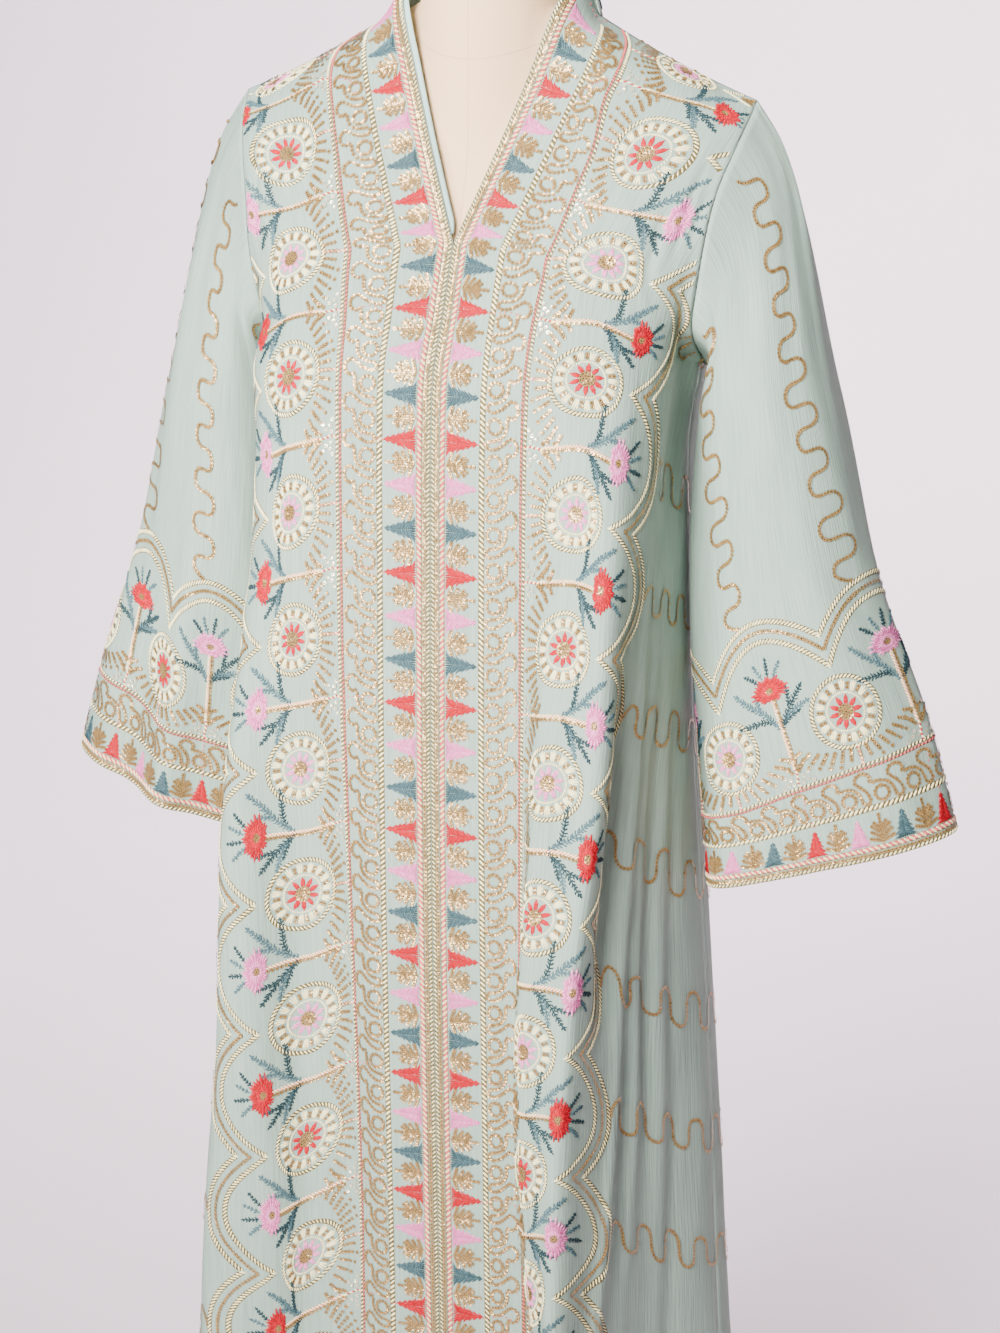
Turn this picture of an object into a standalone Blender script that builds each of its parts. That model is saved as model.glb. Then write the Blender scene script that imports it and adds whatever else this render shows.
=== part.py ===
"""A long embroidered abaya on a limbless dress form with its stand.

Metres, +Z up, the front towards -Y and the wearer's left towards +X.  The origin is the middle
of the stand's base, on the floor.  Every garment piece is a wall of cloth between an outer grid
of points and the same grid moved in by the cloth's thickness.  The pieces meet at the seams
with a small gap.
"""

import bpy
import bmesh
import numpy as np

# Driving sizes of the cloth
CLOTH_WALL = 0.0016
TRIM_WALL = 0.0010
SEAM_GAP = 0.0003
UNDERARM_GAP = 0.0005
TRIM_WIDTH = 0.011
FACING_SHOWS = 0.007
FACING_FROM = 0.015
FACING_TO = 0.220

# Levels run up the front edge and are zero at the bottom of the V neckline
BUST_HEIGHT = 1.190
CHEST_LEVEL = -0.054
BUST_LEVEL = -0.104
VEE_LEVEL = 0.0
YOKE_LEVELS = (CHEST_LEVEL, VEE_LEVEL, 0.072, 0.135, 0.190, 0.241)
BACK_YOKE_LEVELS = (-0.040, 0.040, 0.105, 0.150)
HEM_HEIGHT = 0.070

# Rows of the wearer's left side of the skirt and bodice, from the hem up.  x is out from the
# centre line and y is negative at the front.
# Columns: height, front y, band x y, valley x y, crest x y, turn x y, side x y, rear x y,
# blade x y, back y
LEFT_ROWS = (
    (0.070, -0.126, 0.069, -0.124, 0.082, -0.116, 0.112, -0.176, 0.150, -0.112,
     0.206, 0.004, 0.188, 0.085, 0.112, 0.140, 0.136),
    (0.250, -0.130, 0.069, -0.128, 0.081, -0.122, 0.108, -0.180, 0.144, -0.116,
     0.197, 0.002, 0.176, 0.075, 0.108, 0.134, 0.130),
    (0.420, -0.134, 0.069, -0.133, 0.080, -0.129, 0.106, -0.182, 0.140, -0.120,
     0.190, 0.000, 0.166, 0.066, 0.104, 0.128, 0.125),
    (0.600, -0.140, 0.069, -0.139, 0.082, -0.140, 0.112, -0.184, 0.141, -0.124,
     0.184, -0.004, 0.162, 0.062, 0.100, 0.122, 0.120),
    (0.750, -0.145, 0.070, -0.144, 0.088, -0.150, 0.124, -0.184, 0.142, -0.126,
     0.176, -0.006, 0.157, 0.060, 0.096, 0.118, 0.116),
    (0.900, -0.147, 0.071, -0.147, 0.100, -0.158, 0.139, -0.172, 0.148, -0.120,
     0.166, -0.004, 0.150, 0.060, 0.092, 0.112, 0.112),
    (1.050, -0.145, 0.072, -0.147, 0.108, -0.157, 0.142, -0.158, 0.158, -0.108,
     0.159, 0.000, 0.146, 0.060, 0.090, 0.106, 0.110),
    (1.140, -0.143, 0.072, -0.145, 0.110, -0.146, 0.143, -0.130, 0.161, -0.082,
     0.159, 0.000, 0.147, 0.061, 0.090, 0.105, 0.111),
    (1.190, -0.138, 0.072, -0.140, 0.112, -0.132, 0.146, -0.108, 0.166, -0.064,
     0.168, 0.000, 0.150, 0.062, 0.090, 0.104, 0.112),
)
# The same for the wearer's right side
RIGHT_ROWS = (
    (0.070, -0.126, 0.072, -0.122, 0.120, -0.106, 0.222, -0.134, 0.248, -0.090,
     0.240, 0.000, 0.205, 0.090, 0.112, 0.142, 0.136),
    (0.250, -0.130, 0.072, -0.127, 0.119, -0.112, 0.214, -0.134, 0.236, -0.090,
     0.226, 0.000, 0.196, 0.080, 0.108, 0.136, 0.130),
    (0.420, -0.134, 0.072, -0.132, 0.118, -0.119, 0.206, -0.134, 0.224, -0.090,
     0.212, 0.000, 0.188, 0.075, 0.104, 0.130, 0.125),
    (0.600, -0.140, 0.072, -0.138, 0.116, -0.124, 0.190, -0.140, 0.204, -0.092,
     0.196, 0.000, 0.176, 0.070, 0.100, 0.124, 0.120),
    (0.750, -0.145, 0.072, -0.143, 0.116, -0.130, 0.178, -0.141, 0.186, -0.090,
     0.178, 0.000, 0.164, 0.066, 0.096, 0.118, 0.116),
    (0.900, -0.147, 0.072, -0.145, 0.118, -0.136, 0.164, -0.136, 0.172, -0.085,
     0.164, 0.000, 0.152, 0.062, 0.092, 0.112, 0.112),
    (1.050, -0.145, 0.072, -0.146, 0.118, -0.143, 0.154, -0.122, 0.166, -0.078,
     0.158, 0.000, 0.146, 0.060, 0.090, 0.106, 0.110),
    (1.140, -0.143, 0.072, -0.145, 0.117, -0.140, 0.150, -0.119, 0.163, -0.075,
     0.159, 0.000, 0.147, 0.061, 0.090, 0.105, 0.111),
    (1.190, -0.138, 0.072, -0.142, 0.115, -0.138, 0.150, -0.117, 0.166, -0.068,
     0.168, 0.000, 0.150, 0.062, 0.090, 0.104, 0.112),
)
# The shoulder line, from the neck point out to the tip
NECK_POINT_X = 0.083
NECK_POINT_Z = 1.447
SHOULDER_SLOPE = 0.60
SHOULDER_EASE = 0.89
SHOULDER_TIP_X = 0.205
# Rows of a front above the bust, one for each of YOKE_LEVELS.  A height of None is on the
# shoulder line.
# Columns: edge, collar, band, rosette, flower, border, armhole
YOKE_ROWS = (
    ((0.0000, -0.1160, 1.235), (0.040, -0.122, 1.234), (0.0710, -0.127, 1.232),
     (0.114, -0.119, 1.229), (0.145, -0.100, 1.226), (0.164, -0.075, 1.223), (0.1720, -0.050, 1.220)),
    ((0.0000, -0.0940, 1.284), (0.040, -0.101, 1.281), (0.0710, -0.107, 1.278),
     (0.116, -0.101, 1.273), (0.148, -0.087, 1.268), (0.168, -0.073, 1.264), (0.1790, -0.061, 1.260)),
    ((0.0245, -0.0715, 1.348), (0.063, -0.077, 1.342), (0.0940, -0.081, 1.337),
     (0.132, -0.076, 1.330), (0.158, -0.067, 1.325), (0.177, -0.058, 1.321), (0.1880, -0.050, 1.319)),
    ((0.0445, -0.0530, 1.405), (0.082, -0.053, 1.398), (0.1110, -0.051, 1.391),
     (0.144, -0.045, 1.380), (0.170, -0.039, 1.371), (0.188, -0.034, 1.363), (0.1990, -0.028, 1.358)),
    ((0.0605, -0.0380, 1.455), (0.088, -0.032, 1.434), (0.1130, -0.027, 1.420),
     (0.150, -0.022, 1.402), (0.176, -0.018, 1.390), (0.193, -0.014, 1.382), (0.2035, -0.010, 1.377)),
    ((0.0720, 0.0000, 1.487), (NECK_POINT_X, 0.0, NECK_POINT_Z), (0.1115, 0.000, None),
     (0.150, 0.000, None), (0.176, 0.000, None), (0.192, 0.000, None), (SHOULDER_TIP_X, 0.0, None)),
)
# Rows of the back above the bust, one for each of BACK_YOKE_LEVELS
# Columns: armhole, rear, blade, centre
BACK_YOKE_ROWS = (
    ((0.1740, 0.050, 1.255), (0.143, 0.087, 1.268), (0.088, 0.105, 1.280), (0.0, 0.108, 1.280)),
    ((0.1900, 0.040, 1.330), (0.150, 0.068, 1.340), (0.088, 0.088, 1.352), (0.0, 0.096, 1.352)),
    ((0.2025, 0.013, 1.374), (0.148, 0.030, 1.394), (0.088, 0.048, 1.414), (0.0, 0.078, 1.408)),
    ((SHOULDER_TIP_X, 0.0, None), (0.145, 0.000, None), (NECK_POINT_X, 0.0, NECK_POINT_Z),
     (0.0, 0.060, 1.440)),
)
# Soft upright folds of the skirt.  The column counts from the edge of a front at 0 to the middle
# of the back at 9, and the depth is the one at the hem.
# Columns: side, column, half width in columns, depth, height where it starts
SKIRT_FOLDS = (
    ("left", 5.45, 0.34, -0.010, 1.02),
    ("left", 6.45, 0.40, 0.016, 0.88),
    ("left", 7.40, 0.38, 0.020, 0.95),
    ("left", 8.45, 0.36, 0.017, 0.80),
    ("right", 5.50, 0.36, -0.008, 0.90),
    ("right", 6.50, 0.38, 0.018, 0.92),
    ("right", 7.50, 0.42, 0.016, 0.85),
    ("right", 8.55, 0.34, 0.022, 0.98),
)
# Rings of the sleeves below the armhole.  The tilt lifts the outer edge, the dip lowers the front.
# Columns: centre x, centre y, centre z, half width, half depth, tilt in degrees, dip
SLEEVE_RINGS = {
    "left": ((0.222, -0.004, 1.165, 0.0500, 0.060, 12.0, 0.000),
             (0.241, -0.008, 1.020, 0.0700, 0.056, 14.0, 0.004),
             (0.266, -0.012, 0.910, 0.0870, 0.050, 16.0, 0.008),
             (0.286, -0.014, 0.813, 0.0960, 0.044, 17.0, 0.010)),
    "right": ((0.221, -0.004, 1.165, 0.0490, 0.060, 11.0, 0.000),
              (0.239, -0.008, 1.020, 0.0660, 0.056, 13.0, 0.004),
              (0.258, -0.012, 0.910, 0.0810, 0.050, 15.0, 0.008),
              (0.273, -0.014, 0.813, 0.0910, 0.046, 16.0, 0.010)),
}
# Soft folds of the sleeves.  The angle is 0 at the outer edge and 90 at the front.
# Columns: side, angle, half width, depth, where it starts and ends from 0 at the armhole to 1
SLEEVE_FOLDS = (
    ("left", 128.0, 26.0, -0.005, 0.15, 0.85),
    ("left", 62.0, 24.0, 0.004, 0.35, 1.05),
    ("left", 250.0, 30.0, -0.006, 0.20, 0.95),
    ("right", 120.0, 26.0, 0.004, 0.10, 0.80),
    ("right", 70.0, 26.0, -0.005, 0.30, 1.00),
    ("right", 285.0, 30.0, -0.006, 0.25, 0.95),
)
# How the pieces are divided
EDGE_OFFSETS = (0.0, TRIM_WIDTH, 0.027, 0.042, 0.057)
BAND_COLUMN = 2
SIDE_COLUMN = 6
CENTRE_BACK_COLUMN = 9
STEPS_A_COLUMN = 3
SKIRT_ROWS = 19
YOKE_STEPS = 9
BACK_YOKE_STEPS = 8
SLEEVE_STEPS = (0.0, 0.03, 0.08, 0.15, 0.23, 0.31, 0.39, 0.47, 0.55, 0.63, 0.71, 0.79, 0.87, 0.94)
DENSE = 241

# The back stand collar
COLLAR_TOP_SIDE = (0.072, 0.0, 1.487)
COLLAR_TOP_BACK_Y = 0.053
COLLAR_TOP_BACK_Z = 1.481
COLLAR_COLUMNS = 14

# Slices of the dress form, from its base up to the shoulder tips
# Columns: height, half width, front depth, back depth, radius of the neck blended in
FORM_SLICES = (
    (0.765, 0.138, 0.094, 0.092, 0.0),
    (0.773, 0.144, 0.099, 0.097, 0.0),
    (0.800, 0.149, 0.104, 0.101, 0.0),
    (0.850, 0.151, 0.106, 0.104, 0.0),
    (0.930, 0.142, 0.100, 0.096, 0.0),
    (1.020, 0.123, 0.090, 0.084, 0.0),
    (1.100, 0.134, 0.106, 0.090, 0.0),
    (1.180, 0.148, 0.126, 0.097, 0.0),
    (1.250, 0.157, 0.101, 0.097, 0.020),
    (1.300, 0.171, 0.078, 0.088, 0.038),
    (1.345, 0.188, 0.060, 0.068, 0.050),
    (1.370, 0.198, 0.048, 0.049, 0.0545),
)
FORM_SHOULDER_STEPS = 7
FORM_SHOULDER_FRONT = (0.041, 0.029)
FORM_SHOULDER_BACK = (0.036, 0.024)
NECK_RADIUS = 0.0545
NECK_CENTRE_Y = -0.006
NECK_SLICES = ((1.456, 0.0545), (1.485, 0.0540), (1.508, 0.0535), (1.515, 0.0510), (1.518, 0.0460))
FORM_COLUMNS = 32
SLICE_POWER = 2.2
NECK_BLEND = 10.0

# The stand
POLE_RADIUS = 0.016
POLE_SIDES = 24
BASE_PROFILE = ((0.177, 0.0), (0.180, 0.003), (0.180, 0.006), (0.177, 0.009),
                (0.060, 0.012), (0.032, 0.017), (0.024, 0.024), (0.024, 0.045))
BASE_SIDES = 48

COLOURS = {
    "cloth": ((0.50, 0.60, 0.53, 1.0), 0.60, 0.0),
    "facing": ((0.52, 0.66, 0.66, 1.0), 0.70, 0.0),
    "trim": ((0.62, 0.50, 0.32, 1.0), 0.45, 0.5),
    "form_cloth": ((0.84, 0.74, 0.60, 1.0), 0.85, 0.0),
    "steel": ((0.55, 0.55, 0.56, 1.0), 0.35, 0.9),
}


def shoulder_height(x):
    """Height of the shoulder line at a distance x from the centre."""
    away = x - NECK_POINT_X
    return NECK_POINT_Z - SHOULDER_SLOPE * away + SHOULDER_EASE * away * away


def unit(vectors):
    """Vectors of length one along the last axis."""
    length = np.linalg.norm(vectors, axis=-1, keepdims=True)
    return vectors / np.maximum(length, 1e-12)


def smooth_step(value):
    """Zero below 0, one above 1 and an even rise between."""
    value = np.clip(value, 0.0, 1.0)
    return value * value * (3.0 - 2.0 * value)


def curve(where, values, query, corner=None):
    """Read a smooth curve through values at the places query; corner is a sharp point's index."""
    where = np.asarray(where, float)
    values = np.asarray(values, float)
    query = np.atleast_1d(np.asarray(query, float))
    if corner is not None:
        low = curve(where[:corner + 1], values[:corner + 1], np.minimum(query, where[corner]))
        high = curve(where[corner:], values[corner:], np.maximum(query, where[corner]))
        return np.where((query <= where[corner])[:, None], low, high)
    step = np.diff(where)[:, None]
    slope = np.diff(values, axis=0) / step
    inner = (step[1:] * slope[:-1] + step[:-1] * slope[1:]) / (step[1:] + step[:-1])
    tangent = np.vstack([slope[:1], inner, slope[-1:]])
    k = np.clip(np.searchsorted(where, query, side="right") - 1, 0, len(where) - 2)
    h = (where[k + 1] - where[k])[:, None]
    t = (query - where[k])[:, None] / h
    return ((2 * t ** 3 - 3 * t ** 2 + 1) * values[k] + (t ** 3 - 2 * t ** 2 + t) * h * tangent[k]
            + (3 * t ** 2 - 2 * t ** 3) * values[k + 1] + (t ** 3 - t ** 2) * h * tangent[k + 1])


def chord_places(points):
    """Spline parameters of points, from the distances between them."""
    return np.concatenate([[0.0], np.cumsum(np.linalg.norm(np.diff(points, axis=0), axis=1) ** 0.8)])


def skirt_row(row):
    """Ten points of one row of the skirt and bodice, from the front edge to the centre back."""
    height, front = row[0], row[1]
    pairs = [(row[k], row[k + 1]) for k in range(2, 16, 2)]
    collar = (0.040, front + 0.4 * (pairs[0][1] - front))
    plan = [(0.0, front), collar] + pairs + [(0.0, row[16])]
    return np.array([(x, y, height) for x, y in plan])


def yoke_row(row):
    """Points of one row above the bust, with those on the shoulder line given their height."""
    return np.array([(x, y, shoulder_height(x) if z is None else z) for x, y, z in row])


def skirt_rows(side):
    """All the skirt and bodice rows of a side."""
    return [skirt_row(row) for row in (LEFT_ROWS if side == "left" else RIGHT_ROWS)]


def skirt_levels():
    """Levels of the skirt rows."""
    return [BUST_LEVEL + row[0] - BUST_HEIGHT for row in LEFT_ROWS]


def hem_level():
    """The level of the hem."""
    return BUST_LEVEL + HEM_HEIGHT - BUST_HEIGHT


def fold_depth(side, columns, heights):
    """How far the folds move each point out, for a grid of heights by columns."""
    depth = np.zeros((len(heights), len(columns)))
    for fold_side, column, width, amount, start in SKIRT_FOLDS:
        if fold_side != side:
            continue
        across = np.exp(-((np.asarray(columns) - column) / width) ** 2)
        down = smooth_step((start - np.asarray(heights)) / (start - HEM_HEIGHT))
        depth += amount * np.outer(down, across)
    return depth


class HalfSurface:
    """A smooth surface through rows of control points on one side of the garment."""

    def __init__(self, side, first, last):
        """Take the control columns first to last, and those next to them for the end slopes."""
        self.side = side
        self.first = first
        self.sign = 1.0 if side == "left" else -1.0
        skirt = skirt_rows(side)
        count = last - first + 1
        yoke = [yoke_row(row) for row in (YOKE_ROWS if first == 0 else BACK_YOKE_ROWS)]
        before, after = [], []
        for row in skirt:
            before.append(row[1] * (-1, 1, 1) if first == 0 else row[first - 1])
            after.append(row[last + 1] if first == 0 else row[last - 1] * (-1, 1, 1))
        for row in yoke:
            closed = abs(row[0][0]) < 1e-9
            before.append(row[1] * (-1, 1, 1) if closed else 2 * row[0] - row[1])
            after.append(2 * row[-1] - row[-2] if first == 0 else row[-2] * (-1, 1, 1))
        rows = [row[first:last + 1] for row in skirt] + yoke
        self.controls = np.array([np.vstack([b, r, a]) for b, r, a in zip(before, rows, after)])
        upper = YOKE_LEVELS if first == 0 else BACK_YOKE_LEVELS
        self.levels = np.array(skirt_levels() + list(upper))
        self.count = count
        self.bust = len(skirt) - 1
        self.vee = self.bust + 2

    def corner(self, column):
        """The row where a control column turns sharply, or None."""
        if self.first == 0 and column <= 1:
            return self.vee
        edge = self.count if self.first == 0 else 1
        near_armhole = column >= edge if self.first == 0 else column <= edge
        return self.bust if near_armhole else None

    def dense_row(self, level):
        """Finely spaced points of the row at a level and their control column numbers."""
        points = np.array([curve(self.levels, self.controls[:, c], level, self.corner(c))[0]
                           for c in range(self.count + 2)])
        places = chord_places(points)
        columns = np.linspace(0.0, self.count - 1.0, DENSE)
        return curve(places, points, np.interp(columns + 1.0, np.arange(len(places)), places)), columns

    def straight_top_row(self, columns):
        """The back's top row, which runs along the shoulder line and then round the neck."""
        tip, _, neck, centre = self.controls[-1][1:5]
        out = []
        for column in columns:
            if column <= 2.0:
                x = tip[0] + (neck[0] - tip[0]) * column / 2.0
                out.append((x, 0.0, shoulder_height(x)))
            else:
                out.append(back_neck_point((column - 2.0) * 0.5 * np.pi, neck, centre))
        return np.array(out)

    def row(self, level, offsets, columns):
        """Points of a row: first those at given distances from its start, then given columns."""
        dense, numbers = self.dense_row(level)
        arc = np.concatenate([[0.0], np.cumsum(np.linalg.norm(np.diff(dense, axis=0), axis=1))])
        if self.first > 0 and level >= self.levels[-1] - 1e-9:
            return self.straight_top_row(columns)
        wanted = list(np.interp(offsets, arc, numbers)) + list(columns)
        points = np.stack([np.interp(wanted, numbers, dense[:, k]) for k in range(3)], 1)
        if level >= self.levels[-1] - 1e-9:
            outside = points[:, 0] > NECK_POINT_X
            points[outside, 2] = shoulder_height(points[outside, 0])
        return points

    def grid(self, levels, offsets, columns):
        """Points of the whole surface, one row for each level, with the folds of the skirt."""
        points = np.array([self.row(level, offsets, columns) for level in levels])
        heights = [BUST_HEIGHT + level - BUST_LEVEL for level in levels]
        numbers = [0.0] * len(offsets) + [self.first + column for column in columns]
        if self.first == 0:
            numbers[:len(offsets)] = [0.0] * len(offsets)
        depth = fold_depth(self.side, numbers, heights)
        points = points + unit(grid_normals(points, flip=False) * (1, 1, 0)) * depth[..., None]
        return points * (self.sign, 1.0, 1.0)


def back_neck_point(angle, neck, centre):
    """A point of the back neckline; the angle is 0 at the neck point and a right angle behind."""
    x = neck[0] * np.cos(angle)
    y = centre[1] * np.sin(angle)
    z = neck[2] + (centre[2] - neck[2]) * np.sin(angle)
    return x, y, z


def grid_normals(points, flip):
    """Unit normals of a grid of points, from the directions along its rows and columns."""
    along = np.gradient(points, axis=1)
    up = np.gradient(points, axis=0)
    normal = unit(np.cross(along, up))
    return -normal if flip else normal


def loop_normals(points):
    """Unit normals of a grid whose columns run round a loop."""
    along = np.roll(points, -1, axis=1) - np.roll(points, 1, axis=1)
    up = np.gradient(points, axis=0)
    return unit(np.cross(along, up))


def material(key):
    """A plain material in the colour of a piece."""
    found = bpy.data.materials.get(key)
    if found:
        return found
    made = bpy.data.materials.new(key)
    made.use_nodes = True
    colour, roughness, metallic = COLOURS[key]
    shader = made.node_tree.nodes["Principled BSDF"]
    shader.inputs["Base Color"].default_value = colour
    shader.inputs["Roughness"].default_value = roughness
    shader.inputs["Metallic"].default_value = metallic
    return made


def add_solid(name, points, faces, key):
    """Make one closed object from points and faces, with its faces turned outwards."""
    mesh = bpy.data.meshes.new(name)
    work = bmesh.new()
    corners = [work.verts.new(point) for point in points]
    for face in faces:
        work.faces.new([corners[index] for index in face])
    bmesh.ops.recalc_face_normals(work, faces=work.faces)
    if work.calc_volume(signed=True) < 0.0:
        bmesh.ops.reverse_faces(work, faces=work.faces)
    bmesh.ops.triangulate(work, faces=work.faces)
    work.to_mesh(mesh)
    work.free()
    mesh.shade_smooth()
    mesh.set_sharp_from_angle(angle=np.radians(50.0))
    mesh.materials.append(material(key))
    made = bpy.data.objects.new(name, mesh)
    bpy.context.scene.collection.objects.link(made)
    return made


def add_wall(name, outer, inner, key):
    """Make an open panel of cloth from its outer and inner grids."""
    rows, columns = outer.shape[:2]
    count = rows * columns
    points = np.vstack([outer.reshape(-1, 3), inner.reshape(-1, 3)])
    faces = []
    for r in range(rows - 1):
        for c in range(columns - 1):
            a = r * columns + c
            quad = (a, a + 1, a + columns + 1, a + columns)
            faces.append(quad)
            faces.append(tuple(count + index for index in reversed(quad)))
    rim = [c for c in range(columns)]
    rim += [r * columns + columns - 1 for r in range(1, rows)]
    rim += [(rows - 1) * columns + c for c in range(columns - 2, -1, -1)]
    rim += [r * columns for r in range(rows - 2, 0, -1)]
    for a, b in zip(rim, rim[1:] + rim[:1]):
        faces.append((b, a, count + a, count + b))
    return add_solid(name, points, faces, key)


def add_tube(name, outer, inner, key):
    """Make a tube of cloth, open at both ends, from its outer and inner rings."""
    rows, columns = outer.shape[:2]
    count = rows * columns
    points = np.vstack([outer.reshape(-1, 3), inner.reshape(-1, 3)])
    faces = []
    for r in range(rows - 1):
        for c in range(columns):
            d = (c + 1) % columns
            quad = (r * columns + c, r * columns + d, (r + 1) * columns + d, (r + 1) * columns + c)
            faces.append(quad)
            faces.append(tuple(count + index for index in reversed(quad)))
    for r in (0, rows - 1):
        for c in range(columns):
            a, b = r * columns + c, r * columns + (c + 1) % columns
            faces.append((a, b, count + b, count + a))
    return add_solid(name, points, faces, key)


def add_stack(name, rings, key):
    """Make a closed solid from a stack of rings with flat ends."""
    count = len(rings[0])
    points = np.vstack(rings)
    faces = [tuple(range(count)), tuple((len(rings) - 1) * count + k for k in range(count))]
    for r in range(len(rings) - 1):
        for c in range(count):
            d = (c + 1) % count
            faces.append((r * count + c, r * count + d, (r + 1) * count + d, (r + 1) * count + c))
    return add_solid(name, points, faces, key)


def skirt_row_levels():
    """The levels of the rows of mesh from the hem to the bust."""
    return list(np.linspace(hem_level(), BUST_LEVEL, SKIRT_ROWS))


def column_steps(first, last):
    """Column numbers from first to last, in even steps."""
    return list(np.linspace(first, last, int(round((last - first) * STEPS_A_COLUMN)) + 1))


def shoulder_directions(row, sign):
    """Directions square to a row that lies in the upright plane through the shoulders."""
    along = np.gradient(row, axis=0)
    return sign * unit(np.stack([-along[:, 2], np.zeros(len(row)), along[:, 0]], 1))


class Garment:
    """The outer and inner grids of the pieces, worked out together so that the seams agree."""

    def __init__(self):
        self.front = {}
        self.back = {}
        self.collar = None
        for side in ("left", "right"):
            self.make_half(side)
        self.join_back()
        self.make_collar()

    def make_half(self, side):
        """Work out one front and one half of the back."""
        sign = 1.0 if side == "left" else -1.0
        skirt = skirt_row_levels()
        yoke = list(np.linspace(BUST_LEVEL, YOKE_LEVELS[-1], YOKE_STEPS + 1))[1:]
        yoke[np.argmin(np.abs(yoke))] = VEE_LEVEL
        back_yoke = list(np.linspace(BUST_LEVEL, BACK_YOKE_LEVELS[-1], BACK_YOKE_STEPS + 1))[1:]
        front_columns = column_steps(BAND_COLUMN, SIDE_COLUMN)
        back_columns = column_steps(0, CENTRE_BACK_COLUMN - SIDE_COLUMN)
        front = HalfSurface(side, 0, SIDE_COLUMN).grid(skirt + yoke, EDGE_OFFSETS, front_columns)
        back = HalfSurface(side, SIDE_COLUMN, CENTRE_BACK_COLUMN).grid(
            skirt + back_yoke, (), back_columns)
        front_normal = grid_normals(front, flip=side == "right")
        back_normal = grid_normals(back, flip=side == "right")
        shared = slice(0, SKIRT_ROWS)
        side_normal = unit(front_normal[shared, -1] + back_normal[shared, 0])
        side_normal[:, 2] = 0.0
        side_normal = unit(side_normal)
        front_normal[shared, -1] = side_normal
        back_normal[shared, 0] = side_normal
        middle = slice(0, SKIRT_ROWS + int(np.argmin(np.abs(yoke))) + 1)
        front_normal[middle, 0, 0] = 0.0
        front_normal[middle, 0] = unit(front_normal[middle, 0])
        back_normal[:, -1, 0] = 0.0
        back_normal[:, -1] = unit(back_normal[:, -1])
        front_normal[-1] = shoulder_directions(front[-1], sign)
        on_shoulder = back[-1][:, 1] < 1e-6
        back_normal[-1, on_shoulder] = shoulder_directions(back[-1][on_shoulder], -sign)
        neckline = ~on_shoulder
        outward = unit(back[-1][neckline] * (1.0, 1.0, 0.0))
        back_normal[-1, neckline] = unit(back_normal[-1, neckline] + outward)
        along = unit(front[shared, -1] - front[shared, -2])
        front[shared, -1] -= along * SEAM_GAP / 2
        back_along = unit(back[shared, 1] - back[shared, 0])
        back[shared, 0] += back_along * SEAM_GAP / 2
        front[middle, 0, 0] += sign * SEAM_GAP / 2
        front[-1, :, 1] -= SEAM_GAP / 2
        back[-1, on_shoulder, 1] += SEAM_GAP / 2
        self.levels = np.array(skirt + yoke)
        self.front[side] = (front, front_normal)
        self.back[side] = (back, back_normal)

    def join_back(self):
        """Join the two halves of the back into one grid from left to right."""
        left, left_normal = self.back["left"]
        right, right_normal = self.back["right"]
        self.back["whole"] = (np.concatenate([left, right[:, -2::-1]], 1),
                              np.concatenate([left_normal, right_normal[:, -2::-1]], 1))

    def make_collar(self):
        """Work out the stand collar round the back of the neck."""
        low, high = [], []
        neck = np.array((NECK_POINT_X, 0.0, NECK_POINT_Z))
        centre = yoke_row(BACK_YOKE_ROWS[-1])[-1]
        top = np.array(COLLAR_TOP_SIDE)
        top_centre = np.array((0.0, COLLAR_TOP_BACK_Y, COLLAR_TOP_BACK_Z))
        for angle in np.linspace(0.0, np.pi, COLLAR_COLUMNS + 1):
            start = angle < 0.01
            end = angle > np.pi - 0.01
            shift = SEAM_GAP if start or end else 0.0
            low.append(np.array(back_neck_point(angle, neck, centre)) + (0, shift, 2 * SEAM_GAP))
            high.append(np.array(back_neck_point(angle, top, top_centre)) + (0, shift, 0))
        low, high = np.array(low), np.array(high)
        share = TRIM_WIDTH / np.linalg.norm(high - low, axis=1)[:, None]
        grid = np.array([low, low + (high - low) * 0.5, high + (low - high) * share, high])
        normal = -grid_normals(grid, flip=False)
        outward = unit(grid * (1.0, 1.0, 0.0))
        normal *= np.sign((normal * outward).sum(-1, keepdims=True))
        normal[:, (0, -1), 1] = 0.0
        normal = unit(normal)
        self.collar = (grid, normal)


def armhole_loop(garment, side):
    """Outer points of the armhole, the cloth's normals there and the way into the hole."""
    front, front_normal = garment.front[side]
    back, back_normal = garment.back[side]
    first = SKIRT_ROWS - 1
    down_front = front[first:, -1][::-1]
    up_back = back[first:, 0]
    points = np.vstack([(down_front[:1] + up_back[-1:]) / 2, down_front[1:-1],
                        (down_front[-1:] + up_back[:1]) / 2, up_back[1:-1]])
    normals = np.vstack([front_normal[-1:, -1], front_normal[first + 1:-1, -1][::-1],
                         front_normal[first:first + 1, -1], back_normal[first + 1:-1, 0]])
    front_in = unit(front[first + 1:-1, -1] - front[first + 1:-1, -2])[::-1]
    back_in = unit(back[first + 1:-1, 0] - back[first + 1:-1, 1])
    tip_in = unit(front[-1:, -1] - front[-1:, -2])
    inward = np.vstack([tip_in, front_in, normals[len(front_in) + 1:len(front_in) + 2], back_in])
    return points, normals, inward, len(down_front) - 1


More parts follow.
